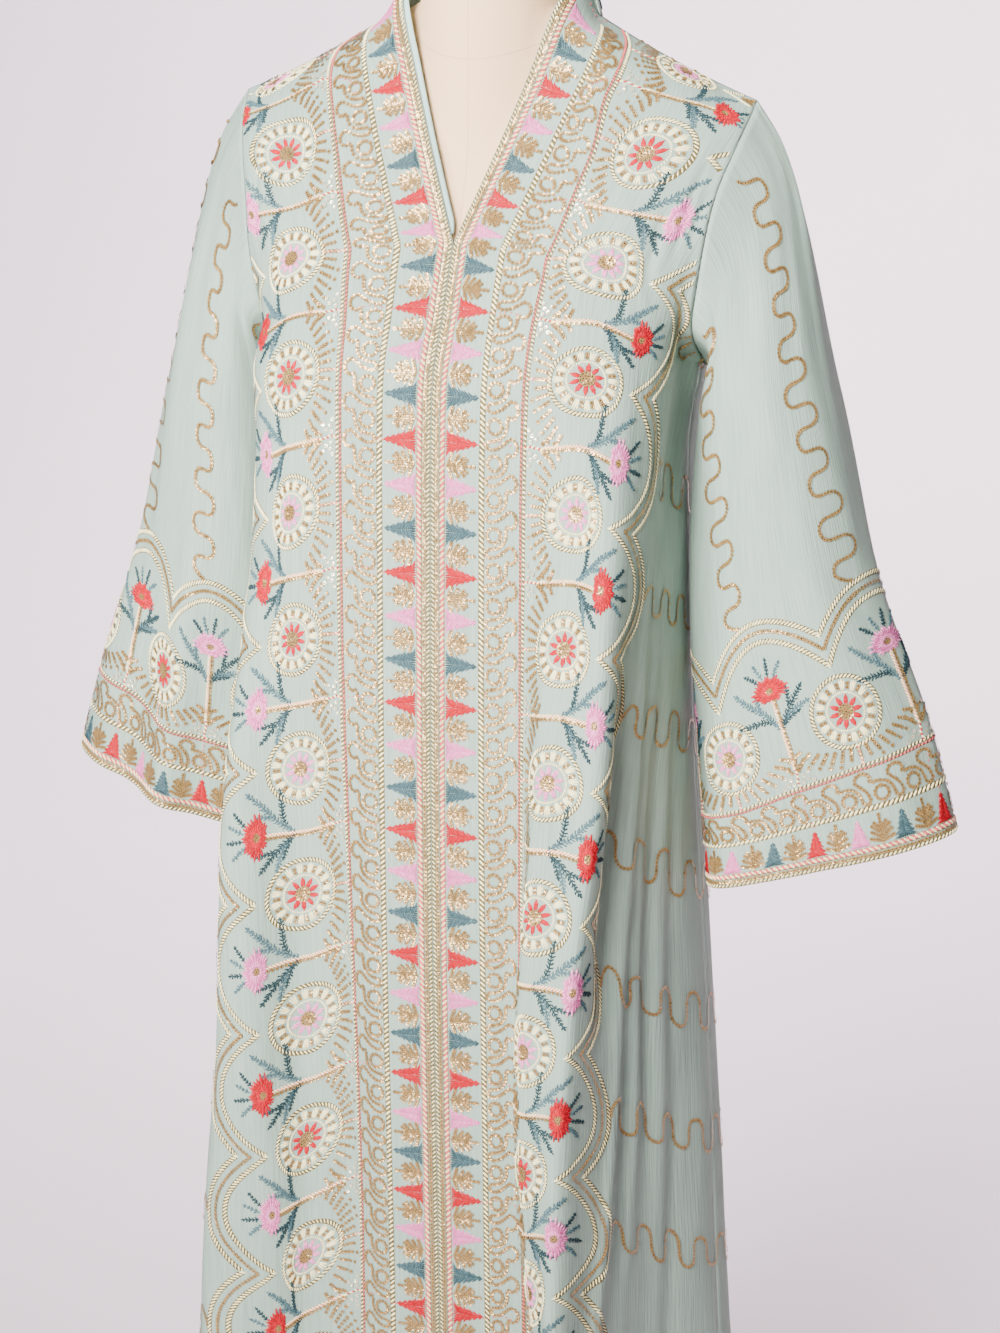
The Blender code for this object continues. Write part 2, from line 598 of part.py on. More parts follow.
def sleeve_grids(garment, side):
    """The outer and inner rings of a sleeve, from the armhole to the cuff."""
    sign = 1.0 if side == "left" else -1.0
    points, normals, inward, underarm = armhole_loop(garment, side)
    count = len(points)
    turn = np.concatenate([np.linspace(0.0, 0.5, underarm + 1)[:-1],
                           0.5 + np.linspace(0.0, 0.5, count - underarm + 1)[:-1]])
    low = smooth_step((0.22 - np.abs(turn - 0.5)) / 0.22)[:, None]
    out = np.array((sign, 0.0, 0.0))
    way = unit(inward * (1.0 - low) + normals * low)
    gap = SEAM_GAP + (UNDERARM_GAP - SEAM_GAP) * low
    start = points + way * gap
    mitre = unit(normals * (1.0 - low) + np.array((0.0, 0.0, -1.0)) * low)
    angle = turn * 2.0 * np.pi
    rings = [start]
    for x, y, z, width, depth, tilt, dip in SLEEVE_RINGS[side]:
        lean = np.radians(tilt)
        rings.append(np.stack([sign * (x + width * np.cos(angle) * np.cos(lean)),
                               y - depth * np.sin(angle),
                               z + width * np.cos(angle) * np.sin(lean) - dip * np.sin(angle)], 1))
    rings = np.array(rings)
    columns = []
    for c in range(count):
        line = rings[:, c]
        reach = np.linalg.norm(line[1] - line[0])
        lead = line[0] + unit(way[c] * (1.0 - low[c]) * 0.5 + out * low[c]
                              + unit(line[1] - line[0]) * (1.0 - 0.6 * low[c])) * reach * 0.16
        line = np.vstack([line[:1], lead[None], line[1:]])
        places = chord_places(line)
        whole = np.linspace(places[0], places[-1], DENSE)
        dense = curve(places, line, whole)
        arc = np.concatenate([[0.0], np.cumsum(np.linalg.norm(np.diff(dense, axis=0), axis=1))])
        wanted = [step * arc[-1] for step in SLEEVE_STEPS] + [arc[-1] - TRIM_WIDTH, arc[-1]]
        wanted[-3] = min(wanted[-3], wanted[-2] - TRIM_WIDTH)
        columns.append(np.stack([np.interp(wanted, arc, dense[:, k]) for k in range(3)], 1))
    outer = np.array(columns).transpose(1, 0, 2)
    normal = loop_normals(outer)
    middle = outer.mean(axis=1, keepdims=True)
    normal *= np.sign(((outer - middle) * normal).sum(-1).sum())
    down = np.linspace(0.0, 1.0, len(outer))
    for fold_side, at, width, amount, start_at, end_at in SLEEVE_FOLDS:
        if fold_side != side:
            continue
        apart = (np.degrees(angle) - at + 180.0) % 360.0 - 180.0
        across = np.exp(-(apart / width) ** 2)
        along = np.sin(np.pi * np.clip((down - start_at) / (end_at - start_at), 0.0, 1.0))
        outer = outer + normal * (np.outer(along, across) * amount)[..., None]
    normal = loop_normals(outer)
    normal *= np.sign(((outer - middle) * normal).sum(-1).sum())
    normal[0] = mitre
    inner = outer - normal * CLOTH_WALL
    return outer, inner, normal


def add_fronts(garment):
    """Make both fronts and the braid along their edges."""
    for side in ("left", "right"):
        outer, normal = garment.front[side]
        add_wall("front_" + side, outer, outer - normal * CLOTH_WALL, "cloth")
        lift = normal[:, :2]
        low = outer[:, :2] + lift * SEAM_GAP
        add_wall("front_trim_" + side, low + lift * TRIM_WALL, low, "trim")


def add_back(garment):
    """Make the back panel."""
    outer, normal = garment.back["whole"]
    add_wall("back", outer, outer - normal * CLOTH_WALL, "cloth")


def add_collar(garment):
    """Make the stand collar round the back of the neck and its braid."""
    outer, normal = garment.collar
    add_wall("neck_band", outer, outer - normal * CLOTH_WALL, "cloth")
    lift = normal[2:]
    low = outer[2:] + lift * SEAM_GAP
    add_wall("neck_band_trim", low + lift * TRIM_WALL, low, "trim")


def add_sleeves(garment):
    """Make both sleeves and the braid round the cuffs."""
    for side in ("left", "right"):
        outer, inner, normal = sleeve_grids(garment, side)
        add_tube("sleeve_" + side, outer, inner, "cloth")
        lift = normal[-2:]
        low = outer[-2:] + lift * SEAM_GAP
        add_tube("cuff_trim_" + side, low + lift * TRIM_WALL, low, "trim")


def add_facing(garment):
    """Make the facing strip that shows inside the wearer's right edge of the V neckline."""
    outer, normal = garment.front["right"]
    rows = (garment.levels > FACING_FROM) & (garment.levels < FACING_TO)
    near = (outer - normal * (CLOTH_WALL + SEAM_GAP))[rows, :3]
    way = unit(near[:, :1] - near[:, 1:2])
    near = np.concatenate([near[:, :1] + way * FACING_SHOWS, near], 1)
    normal = normal[rows][:, (0, 0, 1, 2)]
    add_wall("neck_facing", near, near - normal * TRIM_WALL, "facing")


def form_ring(height, width, front, back, neck):
    """One level ring of the dress form, a rounded slice blended with the round neck."""
    angle = np.arange(FORM_COLUMNS) * 2.0 * np.pi / FORM_COLUMNS
    across, deep = np.cos(angle), np.sin(angle)
    depth = np.where(deep < 0.0, front, back)
    radius = (np.abs(across / width) ** SLICE_POWER
              + np.abs(deep / depth) ** SLICE_POWER) ** (-1.0 / SLICE_POWER)
    if neck > 0.0:
        set_back = NECK_CENTRE_Y * deep
        round_neck = set_back + np.sqrt(neck ** 2 - (NECK_CENTRE_Y * across) ** 2)
        radius = (radius ** NECK_BLEND + round_neck ** NECK_BLEND) ** (1.0 / NECK_BLEND)
    return np.stack([radius * across, radius * deep, np.full(FORM_COLUMNS, height)], 1)


def neck_ring(height, radius):
    """One level ring of the neck above the shoulders."""
    angle = np.arange(FORM_COLUMNS) * 2.0 * np.pi / FORM_COLUMNS
    return np.stack([radius * np.cos(angle), NECK_CENTRE_Y + radius * np.sin(angle),
                     np.full(FORM_COLUMNS, height)], 1)


def add_form():
    """Make the torso and neck of the dress form as one closed solid."""
    rings = [form_ring(*row) for row in FORM_SLICES]
    drop = (CLOTH_WALL + SEAM_GAP) / np.cos(np.arctan(SHOULDER_SLOPE)) + 0.0001
    for share in np.linspace(0.0, 1.0, FORM_SHOULDER_STEPS):
        x = SHOULDER_TIP_X + (NECK_POINT_X - SHOULDER_TIP_X) * share - SEAM_GAP
        front = np.interp(share, (0.0, 1.0), FORM_SHOULDER_FRONT)
        back = np.interp(share, (0.0, 1.0), FORM_SHOULDER_BACK)
        rings.append(form_ring(shoulder_height(x) - drop, x, front, back, NECK_RADIUS))
    rings += [neck_ring(*row) for row in NECK_SLICES]
    add_stack("form_torso", rings, "form_cloth")


def add_stand():
    """Make the pole under the torso and the round base plate."""
    top = FORM_SLICES[0][0] - SEAM_GAP
    bottom = BASE_PROFILE[-1][1] + SEAM_GAP
    angle = np.arange(POLE_SIDES) * 2.0 * np.pi / POLE_SIDES
    circle = np.stack([np.cos(angle), np.sin(angle)], 1) * POLE_RADIUS
    rings = [np.column_stack([circle, np.full(POLE_SIDES, height)]) for height in (bottom, top)]
    add_stack("stand_pole", rings, "steel")
    angle = np.arange(BASE_SIDES) * 2.0 * np.pi / BASE_SIDES
    around = np.stack([np.cos(angle), np.sin(angle)], 1)
    rings = [np.column_stack([around * radius, np.full(BASE_SIDES, height)])
             for radius, height in BASE_PROFILE]
    add_stack("stand_base", rings, "steel")


def main():
    """Clear the scene and make every piece."""
    for old in list(bpy.data.objects):
        bpy.data.objects.remove(old, do_unlink=True)
    garment = Garment()
    add_fronts(garment)
    add_back(garment)
    add_collar(garment)
    add_sleeves(garment)
    add_facing(garment)
    add_form()
    add_stand()


main()
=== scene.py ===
"""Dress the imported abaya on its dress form: folded cloth, needlework, form, stand, light and camera."""

import logging
import math
from dataclasses import dataclass, field
from enum import Enum

import bpy
import numpy as np
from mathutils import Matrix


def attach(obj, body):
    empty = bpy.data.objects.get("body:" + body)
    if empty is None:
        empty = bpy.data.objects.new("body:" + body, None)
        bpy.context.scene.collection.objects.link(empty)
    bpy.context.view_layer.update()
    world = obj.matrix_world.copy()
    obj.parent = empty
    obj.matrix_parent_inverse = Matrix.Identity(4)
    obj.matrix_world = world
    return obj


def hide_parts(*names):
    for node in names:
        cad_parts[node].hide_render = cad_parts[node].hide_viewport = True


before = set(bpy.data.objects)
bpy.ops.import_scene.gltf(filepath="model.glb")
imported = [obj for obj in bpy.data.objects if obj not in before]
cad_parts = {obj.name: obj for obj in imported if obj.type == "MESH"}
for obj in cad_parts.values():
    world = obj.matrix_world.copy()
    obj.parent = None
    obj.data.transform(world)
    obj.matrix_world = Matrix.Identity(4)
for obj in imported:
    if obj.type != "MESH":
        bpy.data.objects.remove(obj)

LOG = logging.getLogger("abaya")
Array = np.ndarray
Piece = bpy.types.Object
Material = bpy.types.Material
Socket = bpy.types.NodeSocket
Triple = tuple[float, float, float]
Colour = Triple
Inputs = dict[str | int, float | Triple | Socket]

# Shape of the garment, in metres unless a line says otherwise.  x is out from the centre line, y is
# negative at the front.
HEM_HEIGHT = 0.07
BUST_HEIGHT = 1.19
BUST_LEVEL = -0.104
SHOULDER_LEVEL = 0.241
BACK_LEVEL = 0.15
YOKE_LEVELS = (-0.054, 0.0, 0.072, 0.135, 0.19, SHOULDER_LEVEL)
BACK_YOKE_LEVELS = (-0.04, 0.04, 0.105, BACK_LEVEL)
SIDE_COLUMN = 6
BACK_COLUMN = 9
# Columns, in millimetres: height, front y, band x y, valley x y, crest x y, turn x y, side x y,
# rear x y, blade x y, back y
SKIRT_ROWS = {
    "left": (
        (70, -126, 69, -124, 82, -116, 112, -176, 150, -112, 206, 4, 188, 85, 112, 140, 136),
        (250, -130, 69, -128, 81, -122, 108, -180, 144, -116, 197, 2, 176, 75, 108, 134, 130),
        (420, -134, 69, -133, 80, -129, 106, -182, 140, -120, 190, 0, 166, 66, 104, 128, 125),
        (600, -140, 69, -139, 82, -140, 112, -184, 141, -124, 184, -4, 162, 62, 100, 122, 120),
        (750, -145, 70, -144, 88, -150, 124, -184, 142, -126, 176, -6, 157, 60, 96, 118, 116),
        (900, -147, 71, -147, 100, -158, 139, -172, 148, -120, 166, -4, 150, 60, 92, 112, 112),
        (1050, -145, 72, -147, 108, -157, 142, -158, 158, -108, 159, 0, 146, 60, 90, 106, 110),
        (1140, -143, 72, -145, 110, -146, 143, -130, 161, -82, 159, 0, 147, 61, 90, 105, 111),
        (1190, -138, 72, -140, 112, -132, 146, -108, 166, -64, 168, 0, 150, 62, 90, 104, 112),
    ),
    "right": (
        (70, -126, 72, -122, 120, -106, 222, -134, 248, -90, 240, 0, 205, 90, 112, 142, 136),
        (250, -130, 72, -127, 119, -112, 214, -134, 236, -90, 226, 0, 196, 80, 108, 136, 130),
        (420, -134, 72, -132, 118, -119, 206, -134, 224, -90, 212, 0, 188, 75, 104, 130, 125),
        (600, -140, 72, -138, 116, -124, 190, -140, 204, -92, 196, 0, 176, 70, 100, 124, 120),
        (750, -145, 72, -143, 116, -130, 178, -141, 186, -90, 178, 0, 164, 66, 96, 118, 116),
        (900, -147, 72, -145, 118, -136, 164, -136, 172, -85, 164, 0, 152, 62, 92, 112, 112),
        (1050, -145, 72, -146, 118, -143, 154, -122, 166, -78, 158, 0, 146, 60, 90, 106, 110),
        (1140, -143, 72, -145, 117, -140, 150, -119, 163, -75, 159, 0, 147, 61, 90, 105, 111),
        (1190, -138, 72, -142, 115, -138, 150, -117, 166, -68, 168, 0, 150, 62, 90, 104, 112),
    ),
}
# Points in millimetres; a height of None is on the shoulder line
NECK_POINT = (83, 0, 1447)
SHOULDER_TIP = (205, 0, None)
NECK_POINT_X = NECK_POINT[0] / 1000.0
NECK_POINT_Z = NECK_POINT[2] / 1000.0
# Columns: edge, collar, band, rosette, flower, border, armhole
YOKE_ROWS = (
    ((0, -116, 1235), (40, -122, 1234), (71, -127, 1232), (114, -119, 1229), (145, -100, 1226),
     (164, -75, 1223), (172, -50, 1220)),
    ((0, -94, 1284), (40, -101, 1281), (71, -107, 1278), (116, -101, 1273), (148, -87, 1268),
     (168, -73, 1264), (179, -61, 1260)),
    ((24.5, -71.5, 1348), (63, -77, 1342), (94, -81, 1337), (132, -76, 1330), (158, -67, 1325),
     (177, -58, 1321), (188, -50, 1319)),
    ((44.5, -53, 1405), (82, -53, 1398), (111, -51, 1391), (144, -45, 1380), (170, -39, 1371),
     (188, -34, 1363), (199, -28, 1358)),
    ((60.5, -38, 1455), (88, -32, 1434), (113, -27, 1420), (150, -22, 1402), (176, -18, 1390),
     (193, -14, 1382), (203.5, -10, 1377)),
    ((72, 0, 1487), NECK_POINT, (111.5, 0, None), (150, 0, None), (176, 0, None), (192, 0, None),
     SHOULDER_TIP),
)
# Columns: armhole, rear, blade, centre
BACK_YOKE_ROWS = (
    ((174, 50, 1255), (143, 87, 1268), (88, 105, 1280), (0, 108, 1280)),
    ((190, 40, 1330), (150, 68, 1340), (88, 88, 1352), (0, 96, 1352)),
    ((202.5, 13, 1374), (148, 30, 1394), (88, 48, 1414), (0, 78, 1408)),
    (SHOULDER_TIP, (145, 0, None), NECK_POINT, (0, 60, 1440)),
)
# Soft upright folds, deepest at the hem.  Columns: column, half width in columns, depth, height
# where it starts
SKIRT_FOLDS = {
    "left": (
        (5.45, 0.34, -0.01, 1.02),
        (6.45, 0.4, 0.016, 0.88),
        (7.4, 0.38, 0.02, 0.95),
        (8.45, 0.36, 0.017, 0.8),
    ),
    "right": (
        (5.5, 0.36, -0.008, 0.9),
        (6.5, 0.38, 0.018, 0.92),
        (7.5, 0.42, 0.016, 0.85),
        (8.55, 0.34, 0.022, 0.98),
    ),
}
# Creases laid one by one on the body.  Columns, in millimetres: depth, half width, then places on the
# panel: distance from the front edge, level
CREASES = {
    "left": (
        (24, 18.5, ((105, -280), (102, -460), (100, -620), (101, -920))),
        (-12, 12, ((178, -300), (180, -420), (186, -600))),
        (-3, 6, ((243, -360), (241, -470), (243, -600), (247, -800))),
        (2.6, 8, ((259, -330), (258, -500), (261, -660), (270, -950))),
        (-3, 7, ((272, -400), (274, -580), (281, -780), (292, -1050))),
        (5, 6, ((205, -220), (212, -400), (206, -620), (190, -900), (176, -1100))),
        (3.6, 5, ((232, -260), (226, -440), (230, -700), (222, -1000))),
        (-2.2, 10, ((214, -520), (217, -700), (224, -900), (232, -1150))),
        (-11, 34, ((214, 60), (224, -60), (236, -160), (242, -280))),
        (-3.2, 4, ((160, 125), (166, 75), (176, 20))),
        (-2.8, 3.6, ((152, 110), (158, 60), (168, 10))),
        (-2.4, 3.6, ((142, 60), (150, 20), (160, -25))),
    ),
    "right": (
        (13, 26, ((168, -300), (160, -500), (155, -750), (158, -1100))),
        (-13, 22, ((86, -360), (84, -550), (80, -800), (82, -1100))),
        (-2.8, 3.5, ((150, 120), (158, 70), (170, 10))),
        (-1.2, 3.5, ((140, 70), (150, 20), (160, -30))),
        (-2.2, 9, ((190, -300), (197, -500), (206, -800))),
        (2, 9, ((220, -360), (228, -600), (236, -950))),
        (-2.2, 8, ((252, -420), (262, -700), (274, -1050))),
    ),
}
# Columns: centre x, centre y, centre z, half width, half depth, tilt in degrees, dip
SLEEVE_RINGS = {
    "left": ((0.219, -0.004, 1.165, 0.053, 0.06, 12.0, 0.0),
             (0.236, -0.008, 1.02, 0.075, 0.056, 14.0, 0.004),
             (0.262, -0.012, 0.91, 0.091, 0.05, 16.0, 0.002),
             (0.281, -0.014, 0.814, 0.1015, 0.044, 17.5, 0.0)),
    "right": ((0.221, -0.004, 1.165, 0.049, 0.06, 11.0, 0.0),
              (0.239, -0.008, 1.02, 0.066, 0.056, 13.0, 0.004),
              (0.258, -0.012, 0.91, 0.081, 0.05, 15.0, 0.002),
              (0.273, -0.014, 0.817, 0.091, 0.046, 18.0, 0.0)),
}
# The angle is 0 at the outer edge and 90 at the front.  Columns: angle at the top, angle at the
# cuff, half width, depth, where it starts and ends from 0 at the armhole to 1 at the cuff
SLEEVE_FOLDS = {
    "left": (
        (128.0, 128.0, 26.0, -0.005, 0.15, 0.85),
        (62.0, 62.0, 24.0, 0.004, 0.35, 1.05),
        (250.0, 250.0, 30.0, -0.006, 0.2, 0.95),
        (40.0, 66.0, 9.0, -0.0016, 0.02, 0.45),
        (100.0, 96.0, 10.0, -0.002, 0.45, 1.0),
        (136.0, 140.0, 20.0, 0.009, 0.45, 1.55),
    ),
    "right": (
        (120.0, 120.0, 26.0, 0.004, 0.1, 0.8),
        (70.0, 70.0, 26.0, -0.005, 0.3, 1.0),
        (285.0, 285.0, 30.0, -0.006, 0.25, 0.95),
        (95.0, 105.0, 9.0, -0.0026, 0.35, 1.05),
        (30.0, 44.0, 10.0, -0.0024, 0.3, 0.95),
        (60.0, 65.0, 14.0, -0.006, 0.45, 1.55),
        (100.0, 95.0, 12.0, 0.013, 0.45, 1.55),
    ),
}
# How the pattern is drawn in by the way the cloth hangs, measured off the photo's motifs.  All in
# millimetres: distance from the edge, then rows of level, shift across and shift along
WARPS = {
    "left": (
        (90, ((241, -2, 9), (201, -2, 8), (100, -4, -2), (0, 2, 1), (-100, 0, 0), (-201, 0, 2),
            (-302, -1, 3), (-402, -1, 3), (-502, 3, 1), (-603, 8, -3), (-704, 11, -5),
            (-1300, 11, -6))),
        (117.5, ((241, -4, 22), (201, -4, 20), (100, -9, -4), (0, 5, 3), (-100, 0, 1), (-201, -1, 5),
            (-302, -2, 7), (-402, -4, 7), (-502, -5, 3), (-603, -8, -6), (-704, -9, -8),
            (-1300, -9, -10))),
        (152, ((241, -7, 24), (151, -7, 18), (50, 3, -3), (-50, 4, -13), (-151, -8, -9), (-251, -13, 2),
            (-352, -8, 3), (-452, -3, 3), (-553, -2, 0), (-653, -7, -2), (-754, -9, 0),
            (-1300, -9, -4))),
        (205, ((241, -6, 20), (50, 4, -10), (-151, -8, -24), (-302, -12, -6), (-452, -16, 2),
            (-553, -8, -8), (-653, -2, -14), (-1300, 0, -14))),
        (330, ((241, 0, -20), (-151, 0, -66), (-352, 0, -46), (-452, 0, -58), (-653, 0, -70),
            (-1300, 0, -64))),
        (460, ((241, 0, -30), (-151, 0, -80), (-452, 0, -90), (-653, 0, -96), (-1300, 0, -90))),
    ),
    "right": (
        (117.5, ((241, 20, 4), (201, 20, 3), (100, 0, -11), (0, 15, -4), (-100, -2, -9),
            (-201, -3, -11), (-302, -3, -9), (-402, -4, -13), (-502, -1, -16), (-603, -1, -21),
            (-704, 4, -25), (-1300, 2, -28))),
        (152, ((241, 9, 6), (151, 9, 5), (50, 18, -10), (-50, 4, -24), (-151, -14, -20),
            (-302, -10, -18), (-452, -2, -19), (-553, 4, -28), (-653, 3, -33), (-754, -2, -38),
            (-1300, -6, -38))),
        (205, ((241, 8, 6), (50, 14, -14), (-151, -10, -26), (-452, -2, -24), (-653, 2, -38),
            (-1300, -4, -44))),
        (330, ((241, 0, -20), (-151, 0, -56), (-452, 0, -64), (-653, 0, -84), (-1300, 0, -90))),
        (460, ((241, 0, -30), (-151, 0, -80), (-452, 0, -96), (-1300, 0, -110))),
    ),
}
# The same for the sleeves, whose cloth hangs turned a little: place round the cuff, shift away from
# the cuff in millimetres, lean of the pattern
TURNS = {
    "left": ((-401, 0, 0.0), (-300, 4, 0.01), (-170, 4, 0.03), (-104, 0, 0.07), (-50, -7, 0.14),
             (0, -15.5, 0.16), (60, -18, 0.16)),
    "right": ((-60, -8, 0.03), (0, -8, 0.03), (50, -8, 0.03), (100, -8, 0.04), (150, 0, 0.05),
              (250, 0, 0.02), (410, 0, 0.0)),
}
# Twigs of a flower, from where they leave its stem: places along and across the stem in millimetres,
# how long their leaflets are, and whether they are in painted shade, the shaded copy of teal
TWIGS = (
    (((0, 0), (9, 5), (19, 13), (29, 24), (38, 32)), 5.4, False),
    (((8, 4), (12, 14), (13, 25), (14, 34)), 4.8, True),
    (((19, 13), (24, 14), (30, 15)), 4.0, False),
    (((0, 0), (9, -6), (18, -15), (28, -26)), 5.2, True),
    (((8, -5), (13, -15), (16, -27)), 4.8, False),
    (((3, -1), (8, -9), (11, -18)), 4.2, True),
    (((17, -12), (23, -14), (30, -15)), 4.0, True),
    (((40, -6), (46, -11), (50, -15)), 3.6, False),
    (((42, -2), (49, -3), (55, -4)), 3.6, True),
    (((42, 3), (48, 6), (53, 8)), 3.6, False),
    (((40, 8), (45, 13), (49, 18)), 3.6, True),
)
# One repeat of the winding line, from the middle of a ring to the next: distance from the edge and
# distance along, in millimetres
MEANDER = ((59.9, -4.4), (59.8, 0.6), (58.0, 5.3), (54.5, 8.5), (49.8, 10.0), (45.7, 10.7), (43.9, 13.4),
           (45.9, 16.4), (50.7, 16.3), (55.8, 13.7), (59.7, 10.3), (63.3, 8.0), (66.9, 10.3), (68.3, 14.6),
           (66.9, 18.8), (63.7, 20.6), (60.8, 19.8), (59.9, 22.2))
MEANDER_RING = (50.3, 5.5)
# Pale sequins beside a flower's stem: distance from the edge and from the stem
PALE_SPOTS = ((0.0785, 0.0042), (0.083, 0.0062), (0.0856, 0.0102), (0.0795, 0.0088), (0.0775, 0.013))
MEANDER_REPEAT = 0.0268
CLOTH_WALL = 0.0012
FACING_WALL = 0.0008
SEAM_GAP = 0.0003
# How far below the top row the rows are drawn towards its exact line
TOP_REACH = 0.038
BACK_TOP_REACH = 0.032
# Places along a row while the surfaces are worked out
DENSE = 241


class Side(Enum):
    """A side of the wearer, with the sign of its x."""

    LEFT = 1.0
    RIGHT = -1.0

    @property
    def key(self) -> str:
        """The side's name as the nodes and tables spell it."""
        return self.name.lower()

    @property
    def mirror(self) -> Array:
        """What points of the wearer's left are multiplied by to lie on this side."""
        return np.array((self.value, 1.0, 1.0))


class Thread(Enum):
    """The materials of the needlework, in the order of the slots on a piece."""

    CREAM = 0
    CORAL = 1
    PINK = 2
    TEAL = 3
    ROSE = 4
    SEQUIN = 5
    PALE_SEQUIN = 6
    # Shaded copy of teal: painted shade between strokes and on twigs
    DEEP_TEAL = 7
    # Painted shade: a dark band under the ropes that darkens the gaps between stitches
    SHADE = 8
    # Shaded copies of coral and pink: painted shade between strokes
    DEEP_CORAL = 9
    DEEP_PINK = 10


def shoulder_height(x: Array | float) -> Array | float:
    """Height of the shoulder line at a distance x from the centre."""
    away = x - NECK_POINT_X
    return NECK_POINT_Z - 0.6 * away + 0.89 * away * away


def unit(vectors: Array) -> Array:
    """Vectors of length one along the last axis."""
    return vectors / np.maximum(np.linalg.norm(vectors, axis=-1, keepdims=True), 1e-12)


def smooth_step(value: Array | float) -> Array:
    """Zero below 0, one above 1 and an even rise between."""
    value = np.clip(value, 0.0, 1.0)
    return value * value * (3.0 - 2.0 * value)


def hermite(t: Array, span: Array, low: Array, low_slope: Array, high: Array, high_slope: Array) -> Array:
    """Read cubics at shares t of the spans between two values that have a slope each."""
    return ((2 * t ** 3 - 3 * t ** 2 + 1) * low + (t ** 3 - 2 * t ** 2 + t) * span * low_slope
            + (3 * t ** 2 - 2 * t ** 3) * high + (t ** 3 - t ** 2) * span * high_slope)


def curve(where: Array, values: Array, query: Array, corner: int | None = None) -> Array:
    """Read a smooth curve through values.

    Args:
        where: rising places of the values.
        values: one row for each place.
        query: places to read.
        corner: the index of a value where the curve turns sharply, or None.

    Returns:
        One row for each place in query.
    """
    where = np.asarray(where, float)
    values = np.asarray(values, float)
    query = np.atleast_1d(np.asarray(query, float))
    if corner is not None:
        low = curve(where[:corner + 1], values[:corner + 1], np.minimum(query, where[corner]))
        high = curve(where[corner:], values[corner:], np.maximum(query, where[corner]))
        return np.where((query <= where[corner])[:, None], low, high)
    step = np.diff(where)[:, None]
    slope = np.diff(values, axis=0) / step
    inner = (step[1:] * slope[:-1] + step[:-1] * slope[1:]) / (step[1:] + step[:-1])
    tangent = np.vstack([slope[:1], inner, slope[-1:]])
    k = np.clip(np.searchsorted(where, query, side="right") - 1, 0, len(where) - 2)
    h = (where[k + 1] - where[k])[:, None]
    t = (query - where[k])[:, None] / h
    return hermite(t, h, values[k], tangent[k], values[k + 1], tangent[k + 1])


def chord_places(points: Array) -> Array:
    """Spline parameters of points, from the distances between them."""
    return np.concatenate([[0.0], np.cumsum(np.linalg.norm(np.diff(points, axis=0), axis=1) ** 0.8)])


def blend(stops: Array, values: list[Array], query: Array) -> Array:
    """Blend smoothly between values that change from place to place.

    Args:
        stops: where the values hold.
        values: an array for each stop, as long as query.
        query: the places to read.

    Returns:
        The blended value at each place.
    """
    table = np.array(values)
    slope = np.gradient(table, stops, axis=0)
    slope[0] = 0.0
    k = np.clip(np.searchsorted(stops, query, side="right") - 1, 0, len(stops) - 2)
    each = np.arange(len(query))
    h = stops[k + 1] - stops[k]
    t = np.clip((query - stops[k]) / h, 0.0, 1.0)
    return hermite(t, h, table[k, each], slope[k, each], table[k + 1, each], slope[k + 1, each])


def read_line(query: Array, where: Array, line: Array) -> Array:
    """Points at some places of a line, read straight between its own points."""
    return np.stack([np.interp(query, where, part) for part in line.T], axis=1)


def pattern_places(across: Array, levels: Array) -> Array:
    """Pattern places of a grid: the distance across it and the level of its row."""
    return np.stack([across, np.broadcast_to(levels[:, None], across.shape)], axis=-1)


def arc_lengths(points: Array) -> Array:
    """Distances along each row of a grid of points, from the row's start."""
    steps = np.linalg.norm(np.diff(points, axis=-2), axis=-1)
    return np.concatenate([np.zeros(steps.shape[:-1] + (1,)), np.cumsum(steps, axis=-1)], axis=-1)


def grid_normals(points: Array) -> Array:
    """Unit normals of a grid, from its rows' direction crossed with its columns' direction."""
    return unit(np.cross(np.gradient(points, axis=1), np.gradient(points, axis=0)))


def loop_normals(points: Array) -> Array:
    """Unit outward normals of a grid whose columns run round a loop.

    Args:
        points: the grid, rows by places round the loop.

    Returns:
        A normal for each point.
    """
    along = np.roll(points, -1, axis=1) - np.roll(points, 1, axis=1)
    normal = unit(np.cross(along, np.gradient(points, axis=0)))
    outward = points - points.mean(axis=1, keepdims=True)
    return normal * np.sign((outward * normal).sum())


def ripple(u: Array, v: Array, seed: int, across: float, along: float) -> Array:
    """Soft uneven waves between about -1 and 1.

    Args:
        u: distances across the cloth.
        v: distances down the cloth.
        seed: picks one set of waves.
        across: usual length of a wave across the cloth.
        along: usual length of a wave down the cloth.

    Returns:
        The height of the waves at each place.
    """
    draw = np.random.default_rng(seed)
    total = np.zeros(np.broadcast(u, v).shape)
    for _ in range(9):
        turn_u = 2 * np.pi / (across * draw.uniform(0.6, 1.7))
        turn_v = 2 * np.pi / (along * draw.uniform(0.6, 1.7)) * draw.choice((-1, 1))
        total += np.sin(turn_u * u + turn_v * v + draw.uniform(0, 2 * np.pi))
    return total / 4.0


def back_neck_point(angle: float, neck: Array, centre: Array) -> tuple[float, float, float]:
    """A point of the back neckline; the angle is 0 at the neck point and a right angle behind."""
    away, behind = np.cos(angle), np.sin(angle)
    return neck[0] * away, centre[1] * behind, neck[2] + (centre[2] - neck[2]) * behind


